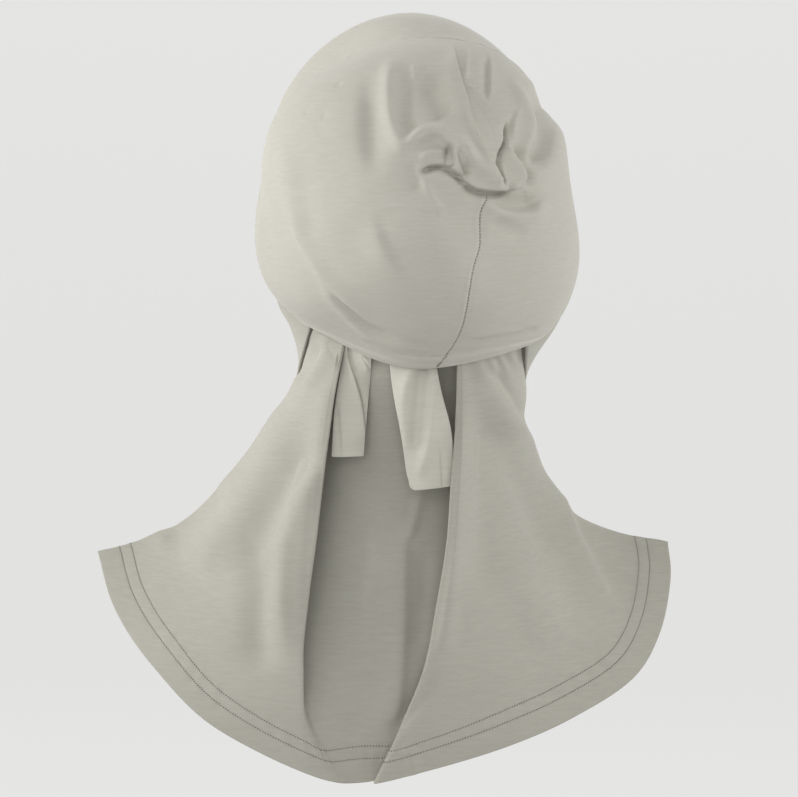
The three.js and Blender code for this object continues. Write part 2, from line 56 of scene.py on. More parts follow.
class Side(Enum):
    """Left or right as seen from behind."""

    LEFT = -1
    RIGHT = 1


class Stretch(IntEnum):
    """The stretches of the cape's back from its side to the middle. On the other half the same
    ones are counted back from MIRROR."""

    FLAP = 0
    EDGE = 1
    UNDER = 2
    TURN = 3
    RECESS = 4
    MIRROR = 8


@dataclass(frozen=True)
class HourRow:
    """One hour round the back of the cap: turns in degrees, reaches as shares of the ball."""

    hour: float
    edge_turn: float
    face_turn: float
    pouch: float
    edge: float
    rise: float
    side: float
    face: float


@dataclass(frozen=True)
class Fold:
    """A soft fold along a path: height, and widths to the left and right of the way it runs.
    lean pushes the crest towards the right, so that it hangs over, and ends are the shares of
    the path over which it fades in and out."""

    path: Path
    height: float
    left: float
    right: float
    lean: float = 0.0
    ends: tuple[float, float] = (0.25, 0.25)


@dataclass(frozen=True)
class CapeRow:
    """A section of the cape from the cap's edge, at 0, to the hem, at 1, in shares of its sizes."""

    at: float
    left: float
    right: float
    side_back: float
    left_drop: float
    right_drop: float
    back: float
    back_drop: float
    front: float
    front_drop: float


@dataclass(frozen=True)
class HemRow:
    """The hem's run at degrees from the middle of the back, in shares of the side reach and drop."""

    at: float
    across: float
    drop: float


@dataclass(frozen=True)
class PleatRow:
    """One side of the inverted fold down the cape, in shares of its sizes: where its edge is, how
    deep it lies behind the flap, how far it goes under it, and how round its edge is rolled."""

    at: float
    edge: float
    depth: float
    overlap: float
    roll: float


@dataclass(frozen=True)
class Crease:
    """A ridge or trough down a tie: places across from -1 to 1 at shares down, height in
    millimetres, and widths on either side as shares of the tie's half width."""

    down: tuple[float, ...]
    across: tuple[float, ...]
    height: float
    left: float
    right: float


@dataclass(frozen=True)
class CollarRow:
    """A place on the neck cover's top line: degrees round the neck, its hour and out on the cap,
    and the steps from it to the next place."""

    turn: float
    hour: float
    out: float
    steps: int


@dataclass(frozen=True)
class TieRow:
    """A tie's middle line and width down its length, in shares of its width."""

    at: float
    across: float
    width: float
    back: float


HOURS = (
    HourRow(0, 78, 154, 0.94, 0.88, 1.01, 1.18, 1.28),
    HourRow(1, 82, 154, 0.93, 0.92, 0.96, 1.12, 1.23),
    HourRow(2, 106, 156, 0.95, 0.90, 0.96, 1.11, 1.19),
    HourRow(3, 112, 157, 0.94, 0.89, 0.98, 1.10, 1.16),
    HourRow(4, 104, 150, 1.04, 1.09, 1.07, 1.08, 1.20),
    HourRow(5, 66, 138, 1.14, 1.16, 1.10, 1.20, 1.38),
    HourRow(6, 60, 134, 1.15, 1.16, 1.10, 1.25, 1.52),
    HourRow(7, 75, 134, 1.11, 1.02, 1.09, 1.18, 1.42),
    HourRow(8, 103, 135, 1.03, 1.04, 1.09, 1.09, 1.20),
    HourRow(9, 110, 138, 0.93, 0.925, 0.985, 1.07, 1.15),
    HourRow(10, 106, 143, 0.945, 0.93, 1.05, 1.12, 1.19),
    HourRow(11, 95, 150, 0.93, 0.86, 1.06, 1.18, 1.24),
)

# The seam between the pouch's panels, as hour and out, from the top edge to the nape
CENTRE_SEAM: Path = (
    (0.40, 1), (0.73, 0.61), (1.50, 0.37), (2.95, 0.22), (3.60, 0.19),
    (4.50, 0.31), (5.10, 0.52), (5.45, 0.75), (5.80, 1),
)

# Large soft forms of the pouch: across and up from the cap's centre, in shares of the ball
POUCH_FORMS = (
    Fold(((-0.26, 0.68), (-0.26, 0.44), (-0.25, 0.24), (-0.22, 0.04)), -0.036, 0.07, 0.055, 0.0, (0.4, 0.4)),
    Fold(((-0.13, 0.76), (-0.15, 0.60), (-0.145, 0.42), (-0.10, 0.28), (-0.05, 0.18)), 0.040, 0.050, 0.050),
    Fold(((-0.05, 0.68), (-0.06, 0.50), (-0.05, 0.38), (0.01, 0.32)), -0.040, 0.045, 0.10),
    Fold(((0.05, 0.66), (0.10, 0.49), (0.17, 0.38)), -0.050, 0.08, 0.08),
    Fold(((0.15, 0.76), (0.19, 0.56), (0.25, 0.42), (0.31, 0.26)), 0.016, 0.04, 0.06),
    Fold(((0.52, 0.66), (0.57, 0.54), (0.63, 0.43), (0.64, 0.34), (0.61, 0.24), (0.57, 0.16)),
         0.030, 0.040, 0.035),
    Fold(((0.66, 0.62), (0.725, 0.46), (0.745, 0.32), (0.69, 0.20), (0.61, 0.145)), -0.080, 0.060, 0.060),
    Fold(((0.84, 0.44), (0.81, 0.31), (0.77, 0.20), (0.69, 0.145), (0.60, 0.12)), 0.014, 0.08, 0.022),
    Fold(((0.33, -0.03), (0.43, -0.09), (0.53, -0.125), (0.64, -0.12), (0.72, -0.04)), 0.034, 0.022, 0.070),
    Fold(((0.40, -0.16), (0.49, -0.21), (0.62, -0.27)), -0.014, 0.045, 0.05),
    Fold(((-0.27, -0.10), (-0.20, -0.30), (-0.12, -0.43), (-0.04, -0.56)),
         0.022, 0.035, 0.08, 0.0, (0.3, 0.6)),
    Fold(((-0.72, 0.28), (-0.73, 0.10), (-0.69, -0.14), (-0.62, -0.34)), 0.014, 0.07, 0.05),
    Fold(((-0.64, 0.10), (-0.62, -0.10), (-0.56, -0.30)), -0.010, 0.06, 0.06),
)

# The knot: a lip over a pocket, a tongue drawn across it, the layer beside it and a small lobe
KNOT_FOLDS = (
    Fold(((-0.055, 0.215), (-0.005, 0.28), (0.06, 0.315), (0.13, 0.31), (0.20, 0.265), (0.255, 0.20),
          (0.30, 0.12)), 0.044, 0.045, 0.032, 0.004, (0.2, 0.2)),
    Fold(((-0.06, 0.24), (-0.01, 0.305), (0.06, 0.335), (0.14, 0.325)), 0.010, 0.016, 0.014, 0.0, (0.2, 0.3)),
    Fold(((0.00, 0.17), (0.06, 0.20), (0.12, 0.21), (0.155, 0.19)), 0.026, 0.022, 0.026),
    Fold(((0.172, 0.255), (0.176, 0.19), (0.182, 0.12)), -0.050, 0.010, 0.018, 0.0, (0.3, 0.1)),
    Fold(((0.200, 0.23), (0.215, 0.16), (0.238, 0.08)), 0.024, 0.012, 0.014, 0.0, (0.3, 0.1)),
    Fold(((0.215, 0.25), (0.250, 0.17), (0.272, 0.08)), -0.032, 0.020, 0.014, 0.0, (0.35, 0.1)),
    Fold(((0.005, 0.085), (0.06, 0.12), (0.13, 0.13), (0.18, 0.11), (0.24, 0.065), (0.29, 0.030)),
         -0.060, 0.009, 0.024, 0.0, (0.2, 0.2)),
    Fold(((0.24, 0.075), (0.31, 0.030), (0.40, 0.010), (0.52, 0.004)),
         0.024, 0.045, 0.007, 0.012, (0.15, 0.1)),
    Fold(((0.25, 0.045), (0.31, 0.000), (0.40, -0.018), (0.53, -0.012)),
         -0.048, 0.008, 0.026, 0.0, (0.25, 0.12)),
    Fold(((0.10, 0.29), (0.23, 0.245), (0.32, 0.15), (0.41, 0.065), (0.48, 0.03)),
         0.034, 0.050, 0.036, 0.0, (0.3, 0.2)),
    Fold(((0.20, 0.84), (0.22, 0.68), (0.25, 0.56), (0.29, 0.43), (0.33, 0.30), (0.39, 0.18), (0.44, 0.09),
          (0.495, 0.01)), 0.022, 0.007, 0.045, -0.003, (0.12, 0.04)),
    Fold(((0.235, 0.52), (0.268, 0.39), (0.308, 0.29), (0.344, 0.20), (0.395, 0.12)), -0.018, 0.020, 0.030),
    Fold(((0.255, 0.595), (0.33, 0.54), (0.40, 0.46), (0.495, 0.38)), 0.020, 0.008, 0.050, 0.0, (0.3, 0.06)),
    Fold(((0.50, 0.385), (0.49, 0.26), (0.46, 0.20), (0.45, 0.11), (0.485, 0.02)),
         -0.046, 0.010, 0.012, 0.0, (0.1, 0.1)),
    Fold(((0.49, 0.25), (0.53, 0.18), (0.57, 0.13), (0.59, 0.07), (0.56, 0.02), (0.51, 0.0)),
         0.026, 0.009, 0.050, -0.004, (0.12, 0.12)),
    Fold(((0.515, 0.26), (0.565, 0.19), (0.610, 0.135), (0.625, 0.07), (0.59, 0.0)), -0.036, 0.034, 0.012),
    Fold(((0.41, 0.78), (0.40, 0.62), (0.39, 0.48)), -0.016, 0.007, 0.030),
    Fold(((0.425, 0.76), (0.415, 0.62), (0.41, 0.50)), 0.006, 0.020, 0.008),
    Fold(((0.29, 0.82), (0.28, 0.70), (0.27, 0.60)), 0.008, 0.014, 0.016),
    Fold(((0.56, 0.44), (0.52, 0.37), (0.51, 0.26)), -0.014, 0.016, 0.014),
    Fold(((0.58, 0.47), (0.545, 0.38), (0.53, 0.27)), 0.008, 0.014, 0.012),
    Fold(((0.36, -0.045), (0.44, -0.078), (0.54, -0.100), (0.64, -0.092), (0.73, -0.01)),
         -0.046, 0.085, 0.018, 0.0, (0.3, 0.3)),
    Fold(((-0.02, 0.70), (-0.01, 0.61)), 0.008, 0.018, 0.018),
    Fold(((0.04, 0.70), (0.06, 0.58)), -0.008, 0.020, 0.020),
    Fold(((-0.17, -0.08), (-0.02, -0.09), (0.12, -0.125)), 0.007, 0.030, 0.014),
    Fold(((0.02, 0.08), (0.07, -0.02), (0.125, -0.115)), 0.018, 0.020, 0.035, 0.0, (0.3, 0.1)),
    Fold(((0.115, -0.12), (0.145, -0.14)), 0.010, 0.018, 0.018, 0.0, (0.4, 0.4)),
    Fold(((-0.03, 0.16), (-0.01, 0.08), (0.03, -0.02)), -0.014, 0.020, 0.040),
)

# Ripples that run along the pouch's lower edge, and the small puckers of its top seam
EDGE_FOLDS = (
    Fold(((-0.70, 0.02), (-0.66, -0.26), (-0.55, -0.44), (-0.42, -0.58), (-0.28, -0.70), (-0.14, -0.77),
          (0.01, -0.82), (0.19, -0.85)), 0.020, 0.050, 0.018),
    Fold(((-0.50, -0.57), (-0.38, -0.67), (-0.25, -0.765), (-0.07, -0.835)), -0.020, 0.018, 0.020),
    Fold(((-0.60, -0.37), (-0.49, -0.57), (-0.37, -0.715), (-0.25, -0.815), (-0.09, -0.875), (0.10, -0.905)),
         0.017, 0.020, 0.030),
    Fold(((-0.30, -0.83), (-0.15, -0.895), (0.02, -0.945)), -0.010, 0.016, 0.020),
    Fold(((0.215, -0.85), (0.40, -0.83), (0.60, -0.805), (0.70, -0.77)), -0.013, 0.010, 0.030),
    Fold(((0.24, -0.825), (0.42, -0.805), (0.60, -0.78)), 0.007, 0.030, 0.010),
    Fold(((-0.42, 0.60), (-0.46, 0.57)), -0.006, 0.012, 0.014),
    Fold(((-0.615, 0.45), (-0.625, 0.41)), -0.006, 0.012, 0.012),
    Fold(((-0.51, 0.44), (-0.525, 0.38)), -0.005, 0.012, 0.012),
    Fold(((-0.905, 0.15), (-0.908, 0.0), (-0.90, -0.14)), -0.010, 0.010, 0.014),
)

CAPE_ROWS = (
    CapeRow(0.00, 0.33, 0.46, 0.29, 0.62, 0.62, 0.80, 0.46, 0.60, 0.54),
    CapeRow(0.12, 0.35, 0.455, 0.24, 0.69, 0.69, 0.86, 0.54, 0.56, 0.59),
    CapeRow(0.26, 0.415, 0.455, 0.19, 0.75, 0.75, 0.90, 0.62, 0.60, 0.65),
    CapeRow(0.40, 0.488, 0.490, 0.12, 0.81, 0.81, 0.93, 0.70, 0.71, 0.72),
    CapeRow(0.55, 0.59, 0.545, 0.06, 0.87, 0.865, 0.955, 0.78, 0.83, 0.79),
    CapeRow(0.70, 0.71, 0.64, 0.01, 0.93, 0.92, 0.975, 0.86, 0.92, 0.86),
    CapeRow(0.86, 0.87, 0.81, -0.04, 0.98, 0.962, 0.99, 0.935, 0.97, 0.94),
    CapeRow(1.00, 1.005, 1.00, -0.05, 1.00, 0.982, 1.00, 1.00, 1.00, 1.00),
)

HEM_ROWS = (
    HemRow(-90, -1.00, 0.00), HemRow(-70, -0.92, 0.24), HemRow(-50, -0.775, 0.48), HemRow(-30, -0.54, 0.77),
    HemRow(-12, -0.22, 0.97), HemRow(0, -0.06, 1.00), HemRow(12, 0.12, 0.95), HemRow(30, 0.42, 0.845),
    HemRow(48, 0.66, 0.735), HemRow(62, 0.86, 0.59), HemRow(74, 0.96, 0.40), HemRow(84, 1.005, 0.16),
    HemRow(90, 1.00, 0.00),
)

# The left edge of the fold opens out flat before the hem; the right one runs on to it
PLEAT_LEFT = (
    PleatRow(0.00, -1.00, 0.20, 0.5, 1.0), PleatRow(0.12, -1.20, 0.75, 0.9, 1.0),
    PleatRow(0.26, -1.34, 1.00, 1.0, 1.0), PleatRow(0.40, -1.46, 0.95, 1.0, 1.0),
    PleatRow(0.55, -1.60, 0.80, 0.9, 1.0), PleatRow(0.70, -1.70, 0.58, 0.6, 0.95),
    PleatRow(0.86, -1.60, 0.30, 0.0, 0.45), PleatRow(1.00, -1.40, 0.10, -1.0, 0.12),
)
PLEAT_RIGHT = (
    PleatRow(0.00, 1.06, 0.20, 0.5, 1.0), PleatRow(0.12, 1.00, 0.75, 0.9, 1.0),
    PleatRow(0.26, 0.92, 1.00, 1.0, 1.0), PleatRow(0.40, 0.84, 0.95, 1.0, 1.0),
    PleatRow(0.55, 0.66, 0.80, 0.9, 1.0), PleatRow(0.70, 0.44, 0.60, 0.7, 1.0),
    PleatRow(0.86, 0.00, 0.38, 0.5, 1.0), PleatRow(1.00, -0.45, 0.26, 0.3, 1.0),
)

# Soft folds of the cape's back, as places across and up in the frame, in millimetres
CAPE_FOLDS = (
    Fold(((-45, -208), (-68, -243), (-89, -281), (-109, -310), (-121, -332)), 5.0, 9, 13),
    Fold(((-51, -240), (-65, -271), (-80, -299), (-92, -329)), -5.4, 10, 9),
    Fold(((-45, -254), (-57, -278), (-64.5, -305), (-67, -335), (-65, -372)), 4.6, 7, 9),
    Fold(((-76, -305), (-80, -343), (-78, -380)), -3.6, 9, 10),
    Fold(((-97, -279), (-122, -298), (-145, -311)), -2.6, 9, 9),
    Fold(((-39, -197), (-43, -224), (-48, -258), (-53, -290), (-57, -326), (-56.5, -360)), 1.4, 3.5, 5.5),
    Fold(((-34, -194), (-46, -205), (-56, -222)), 2.0, 4, 6),
    Fold(((37, -200), (33.5, -249), (31.5, -283), (29.5, -317), (26, -351), (21, -378)), 4.0, 6, 5),
    Fold(((48, -215), (51, -255), (50, -301), (45, -340)), -5.4, 12, 9),
    Fold(((47, -202), (61, -222), (73, -246), (93, -282), (106, -312), (121, -340), (136, -359)),
         4.6, 3.6, 14),
    Fold(((56, -230), (66, -258), (80, -290), (93, -322)), -4.6, 9, 9),
    Fold(((-45, -189.6), (-52, -201.5), (-60, -215.4)), -3.0, 3.5, 5),
    Fold(((53, -200), (63, -219), (73, -240)), -2.2, 3, 4),
    Fold(((60, -298), (78, -338), (94, -372)), 3.4, 14, 12),
    Fold(((21, -370), (16.5, -385), (5, -400), (-7, -415)), -1.8, 2.5, 5),
    Fold(((4, -413), (7, -424), (9, -437)), 1.6, 2.2, 3.5),
)

# Soft folds of the hidden layer inside the inverted fold
RECESS_FOLDS = (
    Fold(((2.5, -268), (2.5, -320), (2.0, -351), (0, -389), (-6, -412)), 2.2, 3.2, 10.0),
    Fold(((13.5, -272), (8.5, -290), (4, -306)), 2.4, 3.5, 2.2),
    Fold(((-20, -232), (-12, -249), (-5, -262)), 2.4, 2.2, 5.0),
    Fold(((-14, -285), (-17, -325), (-21, -362)), 1.8, 7, 7),
    Fold(((15, -300), (14, -340), (9, -375)), -1.6, 5, 6),
)

# The hours by which the neck cover's top line stops short of the gathers
COLLAR_SHARE = 0.03

TIE_LEFT_ROWS = (
    TieRow(0.00, 0.00, 0.65, 0.00), TieRow(0.25, -0.11, 0.88, 0.16),
    TieRow(0.60, -0.26, 0.98, 0.12), TieRow(1.00, -0.36, 0.95, 0.00),
)
TIE_RIGHT_ROWS = (
    TieRow(0.00, 0.00, 0.90, 0.00), TieRow(0.25, 0.10, 0.95, 0.06),
    TieRow(0.60, 0.30, 1.00, 0.18), TieRow(1.00, 0.38, 0.86, 0.22),
)

TIE_LEFT_CREASES = (
    Crease((0.08, 0.20, 0.34, 0.53, 0.78), (-0.95, -0.60, 0.0, 0.57, 0.95), 1.5, 0.50, 0.05),
    Crease((0.08, 0.20, 0.34, 0.53), (-0.78, -0.42, 0.16, 0.70), -0.9, 0.10, 0.22),
    Crease((0.02, 0.12, 0.22), (0.10, 0.35, 0.80), 1.6, 0.30, 0.25),
    Crease((0.16, 0.24), (0.45, 0.95), -1.2, 0.14, 0.20),
    Crease((0.62, 0.80, 0.98), (-0.80, -0.62, -0.48), -0.7, 0.18, 0.12),
)
TIE_RIGHT_CREASES = (
    Crease((0.05, 0.25, 0.45, 0.66), (0.12, -0.48, -0.78, -0.88), 1.7, 0.30, 0.26),
    Crease((0.02, 0.25, 0.45, 0.66), (0.50, 0.14, -0.21, -0.47), -2.4, 0.24, 0.26),
    Crease((0.12, 0.25, 0.45, 0.66, 0.86), (0.95, 0.83, 0.43, 0.03, -0.42), 1.5, 0.22, 0.30),
    Crease((0.72, 0.98), (0.50, 0.56), -0.6, 0.05, 0.16),
    Crease((0.0, 0.08), (0.45, 0.40), -1.6, 0.14, 0.20),
)


# How many widths away from its path a fold is worked out
FOLD_REACH = 2.6


def smooth(low: float, high: float, value: Array) -> Array:
    """Eased step: 0 up to low, 1 from high on, and 3s^2 - 2s^3 between."""
    s = np.clip((np.asarray(value, float) - low) / (high - low), 0, 1)
    return s * s * (3 - 2 * s)


def mix(a: Array, b: Array, share: Array) -> Array:
    """Straight blend from a, at share 0, to b, at share 1."""
    return a + (b - a) * share


def through(knots: Array, values: Array, at: Array) -> Array:
    """Cubic that passes through values at the knots, its slope there that of the neighbours' chord.

    Args:
        knots: Places of the values, rising, of shape (k,).
        values: One column of k values, or k arrays as large as at.
        at: Places to work out.
    Returns:
        The value at each place.
    """
    at = np.clip(np.asarray(at, float), knots[0], knots[-1])
    last = len(knots) - 1
    k = np.clip(np.searchsorted(knots, at, side="left") - 1, 0, last - 1)
    low = np.maximum(np.arange(last + 1) - 1, 0)
    high = np.minimum(np.arange(last + 1) + 1, last)
    values = np.asarray(values, float)
    run = (knots[high] - knots[low]).reshape((-1,) + (1,) * (values.ndim - 1))
    slopes = (values[high] - values[low]) / run

    def pick(table: Array, index: Array) -> Array:
        """The table's entry at each index, for one column or one per place."""
        if table.ndim == 1:
            return table[index]
        return np.take_along_axis(table, index[None], 0)[0]

    span = knots[k + 1] - knots[k]
    s = (at - knots[k]) / span
    s2, s3 = s * s, s * s * s
    return (
        (2 * s3 - 3 * s2 + 1) * pick(values, k)
        + (s3 - 2 * s2 + s) * span * pick(slopes, k)
        + (-2 * s3 + 3 * s2) * pick(values, k + 1)
        + (s3 - s2) * span * pick(slopes, k + 1)
    )


def column(rows: tuple, name: str, at: Array) -> Array:
    """A named column of a table of rows, run through its values at the given places."""
    knots = np.array([row.at for row in rows], float)
    return through(knots, np.array([getattr(row, name) for row in rows], float), at)


def rounded(path: Path, steps: int = 5) -> Array:
    """A path's places with a smooth cubic between them, as an array of points."""
    points = np.array(path, float)
    if len(points) < 3:
        return points
    knots = np.arange(len(points), dtype=float)
    at = np.linspace(0, knots[-1], (len(points) - 1) * steps + 1)
    return np.stack([through(knots, points[:, 0], at), through(knots, points[:, 1], at)], -1)


def relief(folds: tuple[Fold, ...], across: Array, up: Array) -> Array:
    """Sum of folds at places seen from behind. Each fold's profile is exp(-(d / width)^2) of the
    distance d from its path, with its own width on either side, faded at the path's ends.

    Args:
        folds: The folds, in the same measure as the places.
        across: Places across.
        up: Places up.
    Returns:
        Array (..., 3) of height, push across and push up.
    """
    total = np.zeros(across.shape + (3,))
    for fold in folds:
        path = rounded(fold.path)
        reach = FOLD_REACH * max(fold.left, fold.right)
        near = (
            (across > path[:, 0].min() - reach) & (across < path[:, 0].max() + reach)
            & (up > path[:, 1].min() - reach) & (up < path[:, 1].max() + reach)
        )
        if not near.any():
            continue
        place = np.stack([across[near], up[near]], -1)
        best = np.full(len(place), np.inf)
        side = np.zeros(len(place))
        along = np.zeros(len(place))
        right = np.zeros((len(place), 2))
        for k in range(len(path) - 1):
            step = path[k + 1] - path[k]
            length = math.hypot(*step)
            s = np.clip((place - path[k]) @ step / length**2, 0, 1)
            off = place - path[k] - s[:, None] * step
            distance = np.hypot(off[:, 0], off[:, 1])
            closer = distance < best
            best[closer] = distance[closer]
            side[closer] = (step[0] * off[:, 1] - step[1] * off[:, 0])[closer]
            along[closer] = ((k + s) / (len(path) - 1))[closer]
            right[closer] = (step[1] / length, -step[0] / length)
        width = np.where(side < 0, fold.right, fold.left)
        fade = smooth(0, fold.ends[0], along) * smooth(1, 1 - fold.ends[1], along)
        profile = fade * np.exp(-((best / width) ** 2))
        total[near, 0] += fold.height * profile
        total[near, 1:] += fold.lean * profile[:, None] * right
    return total


@dataclass(frozen=True)
class Wave:
    """An uneven wave: a sine whose phase sways, with a slower one on top."""

    turns: float
    sway: float
    sway_turns: float
    slow: float = 0.0
    slow_turns: float = 0.0
    slow_phase: float = 0.0

    def at(self, along: Array) -> Array:
        """The wave's height at places along it."""
        quick = np.sin(along * self.turns + self.sway * np.sin(along * self.sway_turns))
        return quick + self.slow * np.sin(along * self.slow_turns + self.slow_phase)


class SeamCurve:
    """A centripetal Catmull-Rom curve through flat places, as the part's own seam is drawn."""

    def __init__(self, places: Array) -> None:
        """Keeps the places, shape (n, 2)."""
        self.places = places

    def point(self, share: Array) -> Array:
        """Places on the curve at shares 0 to 1 of its run from place to place."""
        last = len(self.places) - 1
        run = np.clip(np.asarray(share, float), 0, 1) * last
        k = np.minimum(np.floor(run).astype(int), last - 1)
        w = (run - k)[..., None]
        before = 2 * self.places[0] - self.places[1]
        after = 2 * self.places[-1] - self.places[-2]
        padded = np.vstack([before, self.places, after])
        p0, p1, p2, p3 = (padded[k + offset] for offset in range(4))
        pairs = ((p0, p1), (p1, p2), (p2, p3))
        d0, d1, d2 = (np.sqrt(np.linalg.norm(b - a, axis=-1, keepdims=True)) for a, b in pairs)
        t1 = ((p1 - p0) / d0 - (p2 - p0) / (d0 + d1) + (p2 - p1) / d1) * d1
        t2 = ((p2 - p1) / d1 - (p3 - p1) / (d1 + d2) + (p3 - p2) / d2) * d1
        return p1 + t1 * w + (-3 * p1 + 3 * p2 - 2 * t1 - t2) * w**2 + (2 * p1 - 2 * p2 + t1 + t2) * w**3

    def tangent(self, share: Array) -> Array:
        """Unit direction of the curve at shares of its run."""
        step = 1e-4
        run = self.point(np.clip(share + step, 0, 1)) - self.point(np.clip(share - step, 0, 1))
        return run / np.linalg.norm(run, axis=-1, keepdims=True)


@dataclass(frozen=True)
class CapSizes:
    """Driving sizes of the cap, in millimetres, hours and shares."""

    ball: float = 100.0
    centre: tuple[float, float, float] = (10.0, -35.0, -101.0)
    back_reach: float = 103.0
    wall: float = 1.3
    band_wall: float = 2.2
    clearance: float = 0.5
    seam_gap: float = 0.06
    ear_left: float = 7.7
    ear_right: float = 4.0
    band_height: float = 14.0
    band_left: float = 7.55
    band_right: float = 4.45
    gather_left: float = 7.23
    gather_right: float = 4.85
    form_fade: float = 0.86
    fold_fade: float = 0.95


class CapShape:
    """The cap's cloth as a surface: hour round the back, and out from the pouch's middle, at 0,
    through the pouch's edge, at 1, to the edge round the face, at 2."""

    knots = np.array([-0.5, 0, 0.5, 1, 1.25, 1.6, 2])
    columns = ("pouch", "edge", "rise", "side", "face")

    def __init__(self, sizes: CapSizes) -> None:
        """Keeps the sizes and the seam's curve."""
        self.sizes = sizes
        self.centre = np.array(sizes.centre)
        self.seam = SeamCurve(self.to_map(*np.array(CENTRE_SEAM, float).T))

    def by_hour(self, name: str, hour: Array) -> Array:
        """A column of the hour table at any hour, going round, as a cubic through the rows."""
        values = np.array([getattr(row, name) for row in HOURS], float)
        wrapped = np.mod(hour, 12)
        base = np.floor(wrapped).astype(int)
        s = wrapped - base
        a, b, c, d = (values[(base + offset) % 12] for offset in (-1, 0, 1, 2))
        return b + 0.5 * s * (c - a + s * (2 * a - 5 * b + 4 * c - d + s * (3 * (b - c) + d - a)))

    def point(self, hour: Array, out: Array, lift: Array = 0.0, fine: bool = True) -> Array:
        """Points of the cloth: the centre plus the ray at that hour and turn, as long as the reach
        that runs through the hour's shares, plus the folds' height along the ray.

        Args:
            hour: Hours round the back.
            out: Places out from the middle of the pouch.
            lift: Distance off the cloth, along the ray.
            fine: Whether the small folds are added to the large ones.
        Returns:
            Points in millimetres, shape (..., 3).
        """
        hour, out = np.broadcast_arrays(np.asarray(hour, float), np.asarray(out, float))
        edge_turn = self.by_hour("edge_turn", hour)
        face_turn = self.by_hour("face_turn", hour)
        turn = np.where(out <= 1, edge_turn * out, edge_turn + (face_turn - edge_turn) * (out - 1))
        ball = self.sizes.ball
        middle = np.full(hour.shape, self.sizes.back_reach / ball)
        beyond = self.by_hour("pouch", hour + 6)
        values = np.stack([beyond, middle, *(self.by_hour(name, hour) for name in self.columns)])
        reach = through(self.knots, values, out)
        polar, round_ = np.radians(turn), np.radians(hour * 30)
        ray = np.stack([np.sin(polar) * np.sin(round_), -np.cos(polar), np.sin(polar) * np.cos(round_)], -1)
        across, up = reach * ray[..., 0], reach * ray[..., 2]
        raised = relief(POUCH_FORMS, across, up) * smooth(1.0, self.sizes.form_fade, out)[..., None]
        if fine:
            folds = relief(KNOT_FOLDS + EDGE_FOLDS, across, up)
            raised += folds * smooth(1.0, self.sizes.fold_fade, out)[..., None]
        point = ray * (ball * (reach + raised[..., 0]) + lift)[..., None]
        point[..., 0] += ball * raised[..., 1]
        point[..., 2] += ball * raised[..., 2]
        return point + self.centre

    def pouch_length(self, hour: Array) -> Array:
        """Length along the cloth of one step of out, at an hour, inside the pouch's edge."""
        return self.by_hour("edge", hour) * self.sizes.ball * np.radians(self.by_hour("edge_turn", hour))

    def band_share(self, hour: Array, spare: float = 0.0) -> Array:
        """How far the band reaches in from the pouch's edge, thinning to nothing at its ends."""
        wrapped = np.mod(hour, 12)
        sizes = self.sizes
        place = (wrapped - sizes.band_right) / (sizes.band_left - sizes.band_right)
        inside = (place > 0) & (place < 1)
        share = (sizes.band_height + spare) / self.pouch_length(hour)
        return np.where(inside, share * np.minimum(1, 2 * np.sin(np.pi * np.clip(place, 0, 1))), 0.0)

    @staticmethod
    def to_map(hour: Array, out: Array) -> Array:
        """Flat places where hour and out are polar coordinates."""
        round_ = np.radians(np.asarray(hour, float) * 30)
        return np.stack([np.sin(round_) * out, np.cos(round_) * out], -1)

    @staticmethod
    def from_map(place: Array) -> tuple[Array, Array]:
        """Hour and out of flat places."""
        hour = np.degrees(np.arctan2(place[..., 0], place[..., 1])) / 30
        return np.mod(hour, 12), np.linalg.norm(place, axis=-1)

    def rim_at(self, across: Array, inset: Array) -> Array:
        """The pouch's lower edge at distances across, set in from the cloth, found by halving."""
        across = np.asarray(across, float)
        low = np.full(across.shape, self.sizes.gather_right)
        high = np.full(across.shape, self.sizes.gather_left)
        for _ in range(26):
            middle = (low + high) / 2
            beyond = self.point(middle, 1.0, fine=False)[..., 0] > across
            low = np.where(beyond, middle, low)
            high = np.where(beyond, high, middle)
        return self.point((low + high) / 2, 1.0, -np.asarray(inset, float), fine=False)


@dataclass(frozen=True)
class CapeSizes:
    """Driving sizes of the cape and its inverted fold, in millimetres, degrees and shares."""

    half_width: float = 172.0
    centre_across: float = -9.5
    back_drop: float = 438.0
    front_drop: float = 405.0
    side_drop: float = 320.0
    back_reach: float = 105.0
    front_reach: float = 110.0
    seam_turn: float = 96.0
    gather_share: float = 0.16
    fold_depth: float = 32.0
    fold_overlap: float = 12.0
    fold_roll: float = 4.2
    fold_gap_half: float = 32.0
    tie_room: float = 6.6
    hem_band: float = 22.0
    stitch_low: float = 13.5
    stitch_high: float = 20.5
    centre_top: float = 0.2
    drop_power: float = 1.15
    level_power: float = 1.2
    hem_from: float = 0.88


